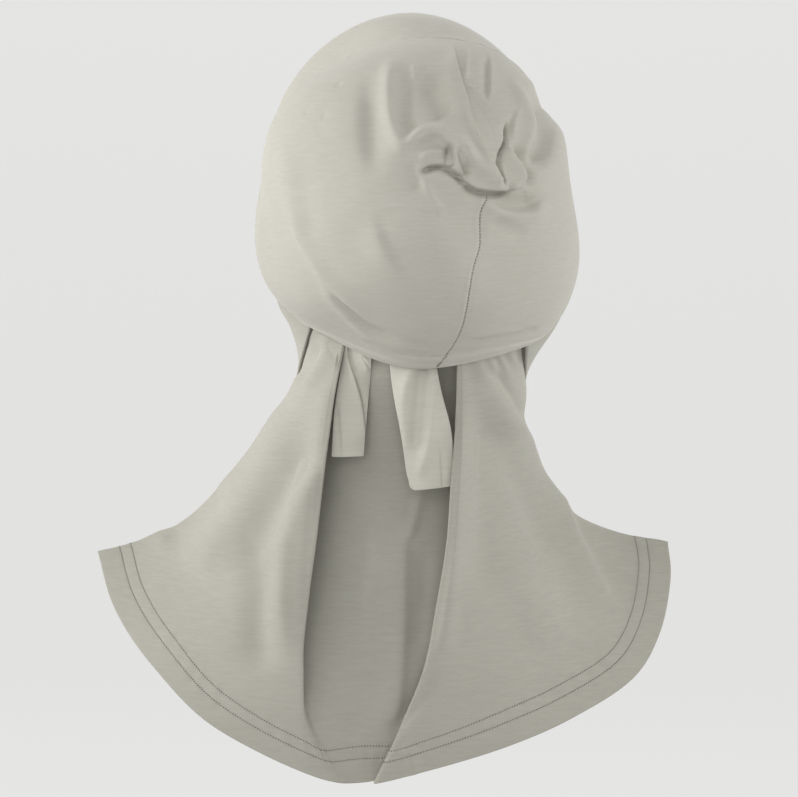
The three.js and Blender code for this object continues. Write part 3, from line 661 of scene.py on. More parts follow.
class CapeShape:
    """The cape as a surface: turn is degrees round the neck from the back, at is 0 to 1 down."""

    def __init__(self, sizes: CapeSizes, cap: CapShape) -> None:
        """Keeps the sizes and the cap that carries the cape."""
        self.sizes = sizes
        self.cap = cap

    def point(self, turn: Array, at: Array) -> Array:
        """Points of the cape without gathers: the sides' reach, place and drop at that section,
        and from there towards the middle of the back or front by the cosine of the turn.

        Args:
            turn: Degrees round the neck from the back, right positive.
            at: Shares down from the cap's edge.
        Returns:
            Points in millimetres, shape (..., 3).
        """
        turn, at = np.broadcast_arrays(np.asarray(turn, float), np.asarray(at, float))
        sizes = self.sizes
        angle = np.radians(turn)
        back = np.cos(angle) > 0
        signed = np.where(turn > 180, turn - 360, turn)
        part = {name: column(CAPE_ROWS, name, at) for name in CapeRow.__dataclass_fields__ if name != "at"}
        own = np.where(back, smooth(0.2, 1, at), 0)
        share = np.abs(np.cos(angle))
        across = mix(np.sin(angle), column(HEM_ROWS, "across", signed), own)
        drop = mix(share**sizes.drop_power, column(HEM_ROWS, "drop", signed), own)
        reach = np.where(across < 0, part["left"], part["right"]) * sizes.half_width
        side_back = -part["side_back"] * sizes.back_reach
        side_drop = mix(part["left_drop"], part["right_drop"], smooth(-1, 1, across)) * sizes.side_drop
        end_back = np.where(back, -part["back"] * sizes.back_reach, part["front"] * sizes.front_reach)
        end_drop = np.where(back, part["back_drop"] * sizes.back_drop, part["front_drop"] * sizes.front_drop)
        return np.stack([
            sizes.centre_across * mix(sizes.centre_top, 1, at) + across * reach,
            side_back + (end_back - side_back) * share,
            -side_drop - (end_drop - side_drop) * drop,
        ], -1)

    def turn_at(self, across: Array, at: Array) -> Array:
        """The turn round the back at which the cape is a distance across, found by halving."""
        across, at = np.broadcast_arrays(np.asarray(across, float), np.asarray(at, float))
        low, high = np.full(across.shape, -90.0), np.full(across.shape, 90.0)
        for _ in range(22):
            middle = (low + high) / 2
            short = self.point(middle, at)[..., 0] < across
            low = np.where(short, middle, low)
            high = np.where(short, high, middle)
        return (low + high) / 2

    def back_at(self, across: Array, at: Array, depth: Array) -> Array:
        """The cape's back at distances across, moved forward by a depth."""
        point = self.point(self.turn_at(across, at), at)
        point[..., 1] += depth
        return point

    def levels(self, down: int, band: int) -> Array:
        """Shares down the cape: rows that widen from the cap's edge, then close rows at the hem."""
        sizes = self.sizes
        upper = (np.arange(down) / down) ** sizes.level_power * sizes.hem_from
        return np.concatenate([upper, np.linspace(sizes.hem_from, 1, band + 1)])


class Cloth:
    """Makes meshes of cloth out of grids of points."""

    @staticmethod
    def mesh(name: str, points: Array, faces: Array, uv: Array | None = None) -> Item:
        """An object from points in millimetres and faces, shaded smooth.

        Args:
            name: The piece's name.
            points: Shape (n, 3), in millimetres.
            faces: Corner numbers, shape (m, 4) or a list of faces.
            uv: A flat place for each point, shape (n, 2), or None.
        Returns:
            The object, linked to the scene.
        """
        data = bpy.data.meshes.new(name)
        data.from_pydata((points * MM).tolist(), [], [list(map(int, face)) for face in faces])
        data.polygons.foreach_set("use_smooth", np.ones(len(data.polygons), bool))
        if uv is not None:
            corner = np.zeros(len(data.loops), np.int32)
            data.loops.foreach_get("vertex_index", corner)
            data.uv_layers.new(name="cloth").data.foreach_set("uv", uv[corner].astype(np.float32).ravel())
        data.validate()
        data.update()
        item = bpy.data.objects.new(name, data)
        bpy.context.scene.collection.objects.link(item)
        return item

    @staticmethod
    def quads(rows: int, columns: int, turned: bool = False) -> Array:
        """Faces of a grid of rows by columns of points, turned over if asked."""
        index = np.arange(rows * columns).reshape(rows, columns)
        corners = [index[:-1, :-1], index[1:, :-1], index[1:, 1:], index[:-1, 1:]]
        faces = np.stack(corners, -1).reshape(-1, 4)
        return faces[:, ::-1] if turned else faces

    @staticmethod
    def run(points: Array, axis: int) -> Array:
        """Length along each line of a grid, from its start, in millimetres."""
        steps = np.linalg.norm(np.diff(points, axis=axis), axis=-1)
        start = np.zeros_like(np.take(steps, [0], axis=axis))
        return np.concatenate([start, np.cumsum(steps, axis=axis)], axis=axis)

    @staticmethod
    def normals(points: Array, outward: Array) -> Array:
        """Unit normals of a grid, all on the side that faces away from the point outward."""
        along = np.gradient(points, axis=0)
        down = np.gradient(points, axis=1)
        normal = np.cross(along, down)
        length = np.linalg.norm(normal, axis=-1, keepdims=True)
        normal = normal / np.maximum(length, 1e-9)
        flip = np.sign(np.sum(normal * (points - outward)))
        return normal * (flip if flip else 1)

    @classmethod
    def wall(cls, name: str, outer: Array, inner: Array) -> Item:
        """A closed cloth wall: the outer grid, then the inner one back again, joined at the two
        long edges and closed at the two ends. The inner grid has as many rows and may be coarser.

        Args:
            name: The piece's name.
            outer: Outer face, shape (u, v, 3), with its faces outwards when taken in order.
            inner: Inner face, shape (u, w, 3).
        Returns:
            The object, with its UV map in decimetres along the cloth.
        """
        loop = np.concatenate([outer, inner[:, ::-1]], axis=1)
        rows, columns = loop.shape[:2]
        index = np.arange(rows * columns).reshape(rows, columns)
        after = np.roll(index, -1, axis=1)
        faces = np.stack([index[:-1], index[1:], after[1:], after[:-1]], -1).reshape(-1, 4).tolist()
        faces.append(index[0].tolist())
        faces.append(index[-1][::-1].tolist())
        u = np.concatenate([cls.run(outer, 0), cls.run(inner, 0)[:, ::-1]], axis=1)
        v = np.concatenate([cls.run(outer, 1), cls.run(inner, 1)[:, ::-1]], axis=1)
        item = cls.mesh(name, loop.reshape(-1, 3), faces, np.stack([u, v], -1).reshape(-1, 2) / 100)
        item.data.set_sharp_from_angle(angle=math.radians(75))
        return item

    @classmethod
    def set_in(cls, name: str, outer: Array, cap: CapShape, wall: float, step: int) -> Item:
        """A closed wall whose inner face is set in towards the cap's centre and keeps one column
        in step."""
        columns = np.unique(np.append(np.arange(0, outer.shape[1], step), outer.shape[1] - 1))
        ray = outer[:, columns] - cap.centre
        inner = outer[:, columns] - ray / np.linalg.norm(ray, axis=-1, keepdims=True) * wall
        return cls.wall(name, outer, inner)

    @classmethod
    def sheet(cls, name: str, outer: Array, wall: float, turned: bool = False) -> Item:
        """A cloth from its outer face, shape (u, v, 3), with its wall inwards. It is turned where
        u and v run the other way round seen from outside."""
        uv = np.stack([cls.run(outer, 0), cls.run(outer, 1)], -1).reshape(-1, 2) / 100
        item = cls.mesh(name, outer.reshape(-1, 3), cls.quads(*outer.shape[:2], turned), uv)
        solid = item.modifiers.new("wall", "SOLIDIFY")
        solid.thickness = wall * MM
        solid.offset = -1
        solid.use_rim = True
        return item

    @staticmethod
    def contour(points: Array, measure: Array, value: float) -> Array:
        """The line over a grid on which a measure, falling along each row, has a value.

        Args:
            points: Grid of points or of normals, shape (u, v, 3).
            measure: The measure at each point, falling along v.
            value: The value looked for.
        Returns:
            One place for each u, shape (u, 3).
        """
        below = np.clip((measure > value).sum(1), 1, measure.shape[1] - 1)
        row = np.arange(len(points))
        high, low = measure[row, below - 1], measure[row, below]
        share = np.clip((high - value) / np.maximum(high - low, 1e-9), 0, 1)[:, None]
        return mix(points[row, below - 1], points[row, below], share)


class Thread:
    """Stitches: many small rounded lengths of thread, each a few dozen faces, in one mesh."""

    def __init__(self, length: float, radius: float, pitch: float) -> None:
        """Keeps a stitch's length and radius, and the pitch from one to the next."""
        self.length = length
        self.radius = radius
        self.pitch = pitch

    def template(self) -> tuple[Array, Array]:
        """One stitch along x with z outwards: rings of six points whose radius closes to the ends
        as a rounded rod's does, bowed outwards in the middle."""
        along = np.array([-1.0, -0.86, -0.5, 0.5, 0.86, 1.0]) * self.length / 2
        size = np.array([0.12, 0.75, 1.0, 1.0, 0.75, 0.12]) * self.radius
        bow = np.array([-0.9, -0.35, 0.25, 0.25, -0.35, -0.9]) * self.radius
        angle = np.arange(6) * np.pi / 3
        ring = np.stack([np.zeros(6), np.cos(angle), np.sin(angle)], -1)
        points = ring[None] * size[:, None, None]
        points[..., 0] += along[:, None]
        points[..., 2] += bow[:, None]
        index = np.arange(36).reshape(6, 6)
        after = np.roll(index, -1, axis=1)
        sides = np.stack([index[:-1], index[1:], after[1:], after[:-1]], -1).reshape(-1, 4)
        fans = np.array([[0, 1, 2, 3], [0, 3, 4, 5], [33, 32, 31, 30], [35, 34, 33, 30]])
        return points.reshape(-1, 3), np.vstack([sides, fans])

    def sew(self, name: str, places: Array, ways: Array, outs: Array) -> Item:
        """One mesh of stitches at places, each along its way with its top towards its out."""
        points, faces = self.template()
        way = ways / np.linalg.norm(ways, axis=-1, keepdims=True)
        out = outs - way * np.sum(outs * way, -1, keepdims=True)
        out = out / np.linalg.norm(out, axis=-1, keepdims=True)
        side = np.cross(out, way)
        axes = np.stack([way, side, out], 1)
        made = places[:, None] + np.einsum("pk,skc->spc", points, axes)
        shift = (np.arange(len(places)) * len(points))[:, None, None]
        return Cloth.mesh(name, made.reshape(-1, 3), (faces[None] + shift).reshape(-1, 4))

    def along(self, line: Array, outs: Array, start: float = 0.0) -> tuple[Array, Array, Array]:
        """Places, ways and outs of stitches at the pitch along a line.

        Args:
            line: Points of the line, shape (n, 3).
            outs: Direction away from the cloth at each point.
            start: Distance along the line of the first stitch.
        Returns:
            The places, ways and outs, shape (m, 3) each.
        """
        run = np.concatenate([[0], np.cumsum(np.linalg.norm(np.diff(line, axis=0), axis=-1))])
        at = np.arange(start + self.pitch / 2, run[-1] - self.pitch / 2, self.pitch)

        def value(data: Array, where: Array) -> Array:
            """The data run along the line at distances."""
            return np.stack([np.interp(where, run, data[:, k]) for k in range(3)], -1)

        step = 0.6
        return value(line, at), value(line, at + step) - value(line, at - step), value(outs, at)


class Recipe:
    """A new material and short ways to add the nodes that the finishes share."""

    def __init__(self, name: str) -> None:
        """Starts the material with its shader, its links and the piece's own place."""
        self.material = bpy.data.materials.new(name)
        self.material.use_nodes = True
        tree = self.material.node_tree
        self.nodes, self.links = tree.nodes, tree.links
        self.shader = self.nodes["Principled BSDF"].inputs
        self.place = self.nodes.new("ShaderNodeTexCoord").outputs["Object"]

    def noise(self, scale: tuple[float, float, float], detail: float, rough: float) -> Socket:
        """Noise over the piece's place, with its own turns per metre along each way."""
        mapping = self.nodes.new("ShaderNodeMapping")
        mapping.inputs["Scale"].default_value = scale
        self.links.new(self.place, mapping.inputs["Vector"])
        made = self.nodes.new("ShaderNodeTexNoise")
        made.inputs["Scale"].default_value = 1.0
        made.inputs["Detail"].default_value = detail
        made.inputs["Roughness"].default_value = rough
        self.links.new(mapping.outputs["Vector"], made.inputs["Vector"])
        return made.outputs["Fac"]

    def ramp(self, source: Socket, colours: tuple, span: tuple[float, float]) -> Socket:
        """Colour from the first to the last of two as the source goes over the span."""
        made = self.nodes.new("ShaderNodeValToRGB")
        for element, colour, at in zip(made.color_ramp.elements, colours, span):
            element.position = at
            element.color = (*colour, 1)
        self.links.new(source, made.inputs["Fac"])
        return made.outputs["Color"]

    def blend(self, kind: str, share: float, below: Socket | tuple,
              above: Socket) -> Socket:
        """Two colours put together by a share, in one of the mixer's ways. The one below may be
        the same all over."""
        made = self.nodes.new("ShaderNodeMix")
        made.data_type = "RGBA"
        made.blend_type = kind
        made.inputs["Factor"].default_value = share
        if isinstance(below, tuple):
            made.inputs["A"].default_value = (*below, 1)
        else:
            self.links.new(below, made.inputs["A"])
        self.links.new(above, made.inputs["B"])
        return made.outputs["Result"]

    def bump(self, source: Socket, strength: float, height: float,
             below: Socket | None = None) -> Socket:
        """The source as a relief of a height in metres, on top of the one below."""
        made = self.nodes.new("ShaderNodeBump")
        made.inputs["Strength"].default_value = strength
        made.inputs["Distance"].default_value = height
        self.links.new(source, made.inputs["Height"])
        if below is not None:
            self.links.new(below, made.inputs["Normal"])
        return made.outputs["Normal"]


@dataclass(frozen=True)
class Jersey:
    """Finish of the cap's jersey: a fine knit with slubs that run level, a soft sheen and a little
    colour change from yarn to yarn. Colours are linear, sizes are in turns per metre."""

    name: str
    base: tuple[float, float, float] = (0.450, 0.438, 0.382)
    deep: tuple[float, float, float] = (0.425, 0.412, 0.357)
    pale: tuple[float, float, float] = (0.478, 0.466, 0.410)
    slub: float = 820.0
    stretch: float = 9.0
    cloud: float = 14.0
    grain: tuple[float, float, float] = (1500.0, 1500.0, 1900.0)
    slub_share: float = 0.55
    cloud_tone: tuple[float, float, float] = (0.94, 0.94, 0.935)
    yarn_tone: tuple[float, float, float] = (0.955, 0.955, 0.955)
    white: tuple[float, float, float] = (1.0, 1.0, 1.0)
    slub_bump: float = 0.18
    slub_height: float = 0.0005
    grain_bump: float = 0.30
    grain_height: float = 0.00025
    rough: float = 0.86
    rough_spread: float = 0.06
    sheen: float = 0.18
    sheen_tint: tuple[float, float, float] = (0.95, 0.95, 0.92)
    sheen_rough: float = 0.45
    gloss: float = 0.25
    yarn_across: float = 3.0
    yarn_up: float = 3.6
    slub_noise: tuple[float, float] = (4.0, 0.62)
    yarn_noise: tuple[float, float] = (2.0, 0.55)
    cloud_noise: tuple[float, float] = (2.0, 0.5)
    grain_noise: tuple[float, float] = (2.0, 0.6)
    slub_span: tuple[float, float] = (0.34, 0.68)
    cloud_span: tuple[float, float] = (0.35, 0.65)
    yarn_span: tuple[float, float] = (0.30, 0.70)

    def build(self) -> bpy.types.Material:
        """The material: level slubs and soft clouds set the colour between deep and pale, and the
        slubs with a finer grain raise the surface."""
        recipe = Recipe(self.name)
        flat = self.slub / self.stretch
        thin = flat * self.yarn_across
        slubs = recipe.noise((flat, flat, self.slub), *self.slub_noise)
        yarn = recipe.noise((thin, thin, self.slub * self.yarn_up), *self.yarn_noise)
        clouds = recipe.noise((self.cloud, self.cloud, self.cloud), *self.cloud_noise)
        grain = recipe.noise(self.grain, *self.grain_noise)
        streaks = recipe.ramp(slubs, (self.deep, self.pale), self.slub_span)
        tone = recipe.blend("MIX", self.slub_share, self.base, streaks)
        shades = ((clouds, self.cloud_tone, self.cloud_span), (yarn, self.yarn_tone, self.yarn_span))
        for source, dark, span in shades:
            tone = recipe.blend("MULTIPLY", 1.0, tone, recipe.ramp(source, (dark, self.white), span))
        recipe.links.new(tone, recipe.shader["Base Color"])
        raised = recipe.bump(slubs, self.slub_bump, self.slub_height)
        raised = recipe.bump(grain, self.grain_bump, self.grain_height, raised)
        recipe.links.new(raised, recipe.shader["Normal"])
        worn = recipe.nodes.new("ShaderNodeMapRange")
        worn.inputs["To Min"].default_value = self.rough - self.rough_spread
        worn.inputs["To Max"].default_value = self.rough + self.rough_spread
        recipe.links.new(yarn, worn.inputs["Value"])
        recipe.links.new(worn.outputs["Result"], recipe.shader["Roughness"])
        recipe.shader["Sheen Weight"].default_value = self.sheen
        recipe.shader["Sheen Roughness"].default_value = self.sheen_rough
        recipe.shader["Sheen Tint"].default_value = (*self.sheen_tint, 1)
        recipe.shader["Specular IOR Level"].default_value = self.gloss
        return recipe.material


@dataclass(frozen=True)
class ThreadFinish:
    """Finish of sewing thread: a plain colour with a fine twist, in turns per metre."""

    name: str
    colour: tuple[float, float, float]
    twist: float = 3200.0
    shade: float = 0.82

    def build(self) -> bpy.types.Material:
        """The material: the twist darkens the thread slightly and raises its strands."""
        recipe = Recipe(self.name)
        twist = recipe.noise((self.twist, self.twist, self.twist), 1.0, 0.5)
        dark = tuple(self.shade * c for c in self.colour)
        recipe.links.new(recipe.ramp(twist, (dark, self.colour), (0.0, 1.0)), recipe.shader["Base Color"])
        recipe.links.new(recipe.bump(twist, 0.3, 0.0001), recipe.shader["Normal"])
        recipe.shader["Roughness"].default_value = 0.6
        return recipe.material


@dataclass
class Finishes:
    """The finishes, each made once."""

    cap: bpy.types.Material = field(default_factory=lambda: Jersey("cap_jersey").build())
    band: bpy.types.Material = field(default_factory=lambda: Jersey(
        "band_jersey", (0.475, 0.462, 0.403), (0.448, 0.434, 0.376), (0.505, 0.492, 0.433)).build())
    # The ties' jersey is the cap's cloth made about a fifth lighter: painted light on the ties, which hang in
    # the pouch's shade.
    tie: bpy.types.Material = field(default_factory=lambda: Jersey(
        "tie_jersey", (0.530, 0.515, 0.450), (0.500, 0.485, 0.420), (0.560, 0.545, 0.478),
        slub=300.0, slub_bump=0.25).build())
    # The cape's jersey is the cap's cloth made about a seventh darker: painted shade over the whole cape.
    cape: bpy.types.Material = field(default_factory=lambda: Jersey(
        "cape_jersey", (0.388, 0.378, 0.326), (0.362, 0.352, 0.302), (0.416, 0.406, 0.352)).build())
    # The hem's thread is near black: partly the thread's own colour, partly painted shade of the needle holes
    # along the stitches.
    thread: bpy.types.Material = field(
        default_factory=lambda: ThreadFinish("thread", (0.13, 0.13, 0.10)).build())
    dark_thread: bpy.types.Material = field(
        default_factory=lambda: ThreadFinish("overlock_thread", (0.16, 0.15, 0.12)).build())


def dress(item: Item, material: bpy.types.Material, slot: str, *nodes: str) -> Item:
    """Gives a piece its finish, lets it stand for its CAD nodes, and has it ride along."""
    item.data.materials.append(material)
    if nodes:
        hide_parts(*nodes)
    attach(item, "root")
    LOG.info("%s: %d points", item.name, len(item.data.vertices))
    return item


@dataclass
class Pouch:
    """The two panels of the hair pouch, with the stitched seam between them."""

    cap: CapShape
    rows: int = 330
    left_columns: int = 200
    right_columns: int = 170
    inner_step: int = 5
    seam_from: tuple[float, float] = (0.36, 0.44)
    seam_dip: float = 0.45
    dip_width: float = 0.6
    seam_welt: float = 0.40
    welt_away: float = 1.9
    welt_width: float = 1.2
    right_welt_share: float = -0.5
    stitch_from: float = 0.43
    stitch_lift: float = 0.15
    stitch_slant: float = 0.5
    band_lift: float = 0.5
    stitch: Thread = field(default_factory=lambda: Thread(1.7, 0.23, 1.8))

    def panel(self, side: Side, columns: int) -> tuple[Array, Array]:
        """One panel's outer face: on the flat map of hour and out, straight from the seam, at 0,
        to the pouch's edge, at 1.

        Args:
            side: Which panel.
            columns: Points from the seam to the edge.
        Returns:
            The grid of points and each point's distance from the seam, in millimetres.
        """
        cap = self.cap
        half = cap.sizes.seam_gap / 2
        u = np.linspace(0, 1, self.rows)
        tangent = cap.seam.tangent(u)
        step = half / float(cap.pouch_length(3.0))
        onward = np.stack([-tangent[:, 1], tangent[:, 0]], -1) * side.value * step
        place = cap.seam.point(u) + onward
        hour, out = cap.from_map(place)
        band = cap.band_share(hour, cap.sizes.seam_gap)
        limit = 1 - half / cap.pouch_length(hour) - band * smooth(0.5, 1, u)
        place = place * np.minimum(1, limit / out)[:, None]
        start, end = cap.from_map(place[[0, -1]])[0]
        edge_hour = start + (end - start) * u if side is Side.RIGHT else start - (start + 12 - end) * u
        edge_hour = np.mod(edge_hour, 12)
        edge_out = 1 - half / cap.pouch_length(edge_hour) - cap.band_share(edge_hour, cap.sizes.seam_gap)
        edge = cap.to_map(edge_hour, edge_out)
        v = np.linspace(0, 1, columns)
        flat = mix(place[:, None], edge[:, None], v[None, :, None])
        found_hour, found_out = cap.from_map(flat)
        smooth_face = cap.point(found_hour, found_out)
        away = Cloth.run(smooth_face, 1)
        share = 1 if side is Side.LEFT else self.right_welt_share
        raised = self.seam_welt * np.exp(-(((away - self.welt_away) / self.welt_width) ** 2)) * share
        sunk = self.seam_dip * np.exp(-((away / self.dip_width) ** 2))
        welt = smooth(*self.seam_from, u)[:, None] * (raised - sunk)
        ray = smooth_face - cap.centre
        return smooth_face + ray / np.linalg.norm(ray, axis=-1, keepdims=True) * welt[..., None], away

    def build(self, finishes: Finishes) -> dict[str, Item]:
        """Both panels and their seam stitches."""
        left, _ = self.panel(Side.LEFT, self.left_columns)
        right, _ = self.panel(Side.RIGHT, self.right_columns)
        pieces = {}
        for side, face in (("left", left), ("right", right[:, ::-1])):
            name = f"pouch_{side}"
            item = Cloth.set_in(f"{name}_cloth", face, self.cap, self.cap.sizes.wall, self.inner_step)
            pieces[side] = dress(item, finishes.cap, "cap_jersey", name)
        hour, out = self.cap.from_map(self.cap.seam.point(np.linspace(0, 1, self.rows)))
        on_band = out > 1 - self.cap.band_share(hour)
        over_band = self.cap.point(hour[on_band], np.minimum(out[on_band], 1), self.band_lift)
        first = int(self.rows * self.stitch_from)
        line = np.concatenate([((left[:, 0] + right[:, 0]) / 2)[first:][~on_band[first:]], over_band])
        outs = line - self.cap.centre
        places, ways, outs = self.stitch.along(line, outs)
        outs = outs / np.linalg.norm(outs, axis=-1, keepdims=True)
        way = ways / np.linalg.norm(ways, axis=-1, keepdims=True)
        side = np.cross(outs, way)
        slant = np.where(np.arange(len(places)) % 2 == 0, 1.0, -1.0)[:, None]
        places, leaning = places + outs * self.stitch_lift, side + way * self.stitch_slant * slant
        stitches = self.stitch.sew("seam_overlock", places, leaning, outs)
        pieces["stitches"] = dress(stitches, finishes.dark_thread, "cap_jersey")
        return pieces


@dataclass
class Crown:
    """The smooth front of the cap, with its turned edge round the face."""

    cap: CapShape
    rows: int = 260
    columns: int = 90
    turn_depth: float = 12.0
    turn_step: float = 0.4
    turn_ease: float = 0.8
    groove: float = 0.5
    groove_in: float = 1.5
    groove_width: float = 0.7
    seam_rise: float = 0.35
    seam_width: float = 1.1
    pucker: float = 0.22
    pucker_reach: float = 6.0
    pucker_wave: Wave = Wave(19.0, 2.0, 7.0)

    def surface(self) -> Array:
        """The outer face: hour from ear to ear over the top, out from the seam to the face. It
        rolls in at both edges, and dips along the line that holds the turned edge."""
        cap = self.cap
        u = np.linspace(0, 1, self.rows)[:, None]
        v = np.linspace(0, 1, self.columns)[None]
        first = cap.sizes.ear_left - 12
        hour = first + (cap.sizes.ear_right - first) * u
        low = 1 + cap.sizes.seam_gap / cap.pouch_length(hour)
        face = cap.point(hour, low + (2 - low) * v)
        run = Cloth.run(face, 1)
        from_face = run[:, -1:] - run
        ray = face - cap.centre
        ray /= np.linalg.norm(ray, axis=-1, keepdims=True)
        turn, ease = self.turn_depth, self.turn_ease
        step = self.turn_step * smooth(turn + ease, turn - ease, from_face)
        groove = -self.groove * np.exp(-(((from_face - turn + self.groove_in) / self.groove_width) ** 2))
        seam = self.seam_rise * np.exp(-((run / self.seam_width) ** 2))
        pucker = self.pucker * self.pucker_wave.at(hour) * np.exp(-((run / self.pucker_reach) ** 2))
        return face + ray * (step + groove + seam + pucker)[..., None]

    def build(self, finishes: Finishes) -> Item:
        """The front's wall, with its finish."""
        item = Cloth.sheet("crown_cloth", self.surface(), self.cap.sizes.wall)
        return dress(item, finishes.cap, "cap_jersey", "crown_front")


@dataclass
class NapeBand:
    """The turned band along the pouch's lower back edge."""

    cap: CapShape
    rows: int = 300
    columns: int = 26
    proud: float = 0.45
    ripple: float = 0.30
    ripple_turns: tuple[float, float, float] = (9.0, 3.0, 2.1)
    ripple_from: float = 0.25
    ripple_to: float = 0.8
    end_ease: float = 0.08
    proud_ease: float = 0.5
    inner_step: int = 5

    def surface(self) -> Array:
        """The outer face: hour along the band, and from its upper edge, level with the pouch, to
        the pouch's edge, where it stands proud. Fine ripples run along it."""
        cap = self.cap
        u = np.linspace(0, 1, self.rows)[:, None]
        v = np.linspace(0, 1, self.columns)[None]
        hour = cap.sizes.band_right + (cap.sizes.band_left - cap.sizes.band_right) * u
        share = cap.band_share(hour)
        half = cap.sizes.seam_gap / 2 / cap.pouch_length(hour)
        ends = smooth(0, self.end_ease, np.minimum(u, 1 - u))
        proud = self.proud * smooth(0, self.proud_ease, v) * ends
        down, sway, along = self.ripple_turns
        wave = self.ripple * np.sin(v * down + sway * np.sin(hour * along))
        ripple = wave * smooth(0, self.ripple_from, v) * smooth(1, self.ripple_to, v)
        return cap.point(hour, 1 - share * (1 - v) + half * (1 - v), proud + ripple * ends)

    def build(self, finishes: Finishes) -> Item:
        """The band's wall, with its finish."""
        face = self.surface()[:, ::-1]
        item = Cloth.set_in("nape_band_cloth", face, self.cap, self.cap.sizes.band_wall, self.inner_step)
        return dress(item, finishes.band, "band_jersey", "nape_band")


class HemLine(Enum):
    """The two rows of stitches along the cape's hem."""

    LOW = "low"
    HIGH = "high"


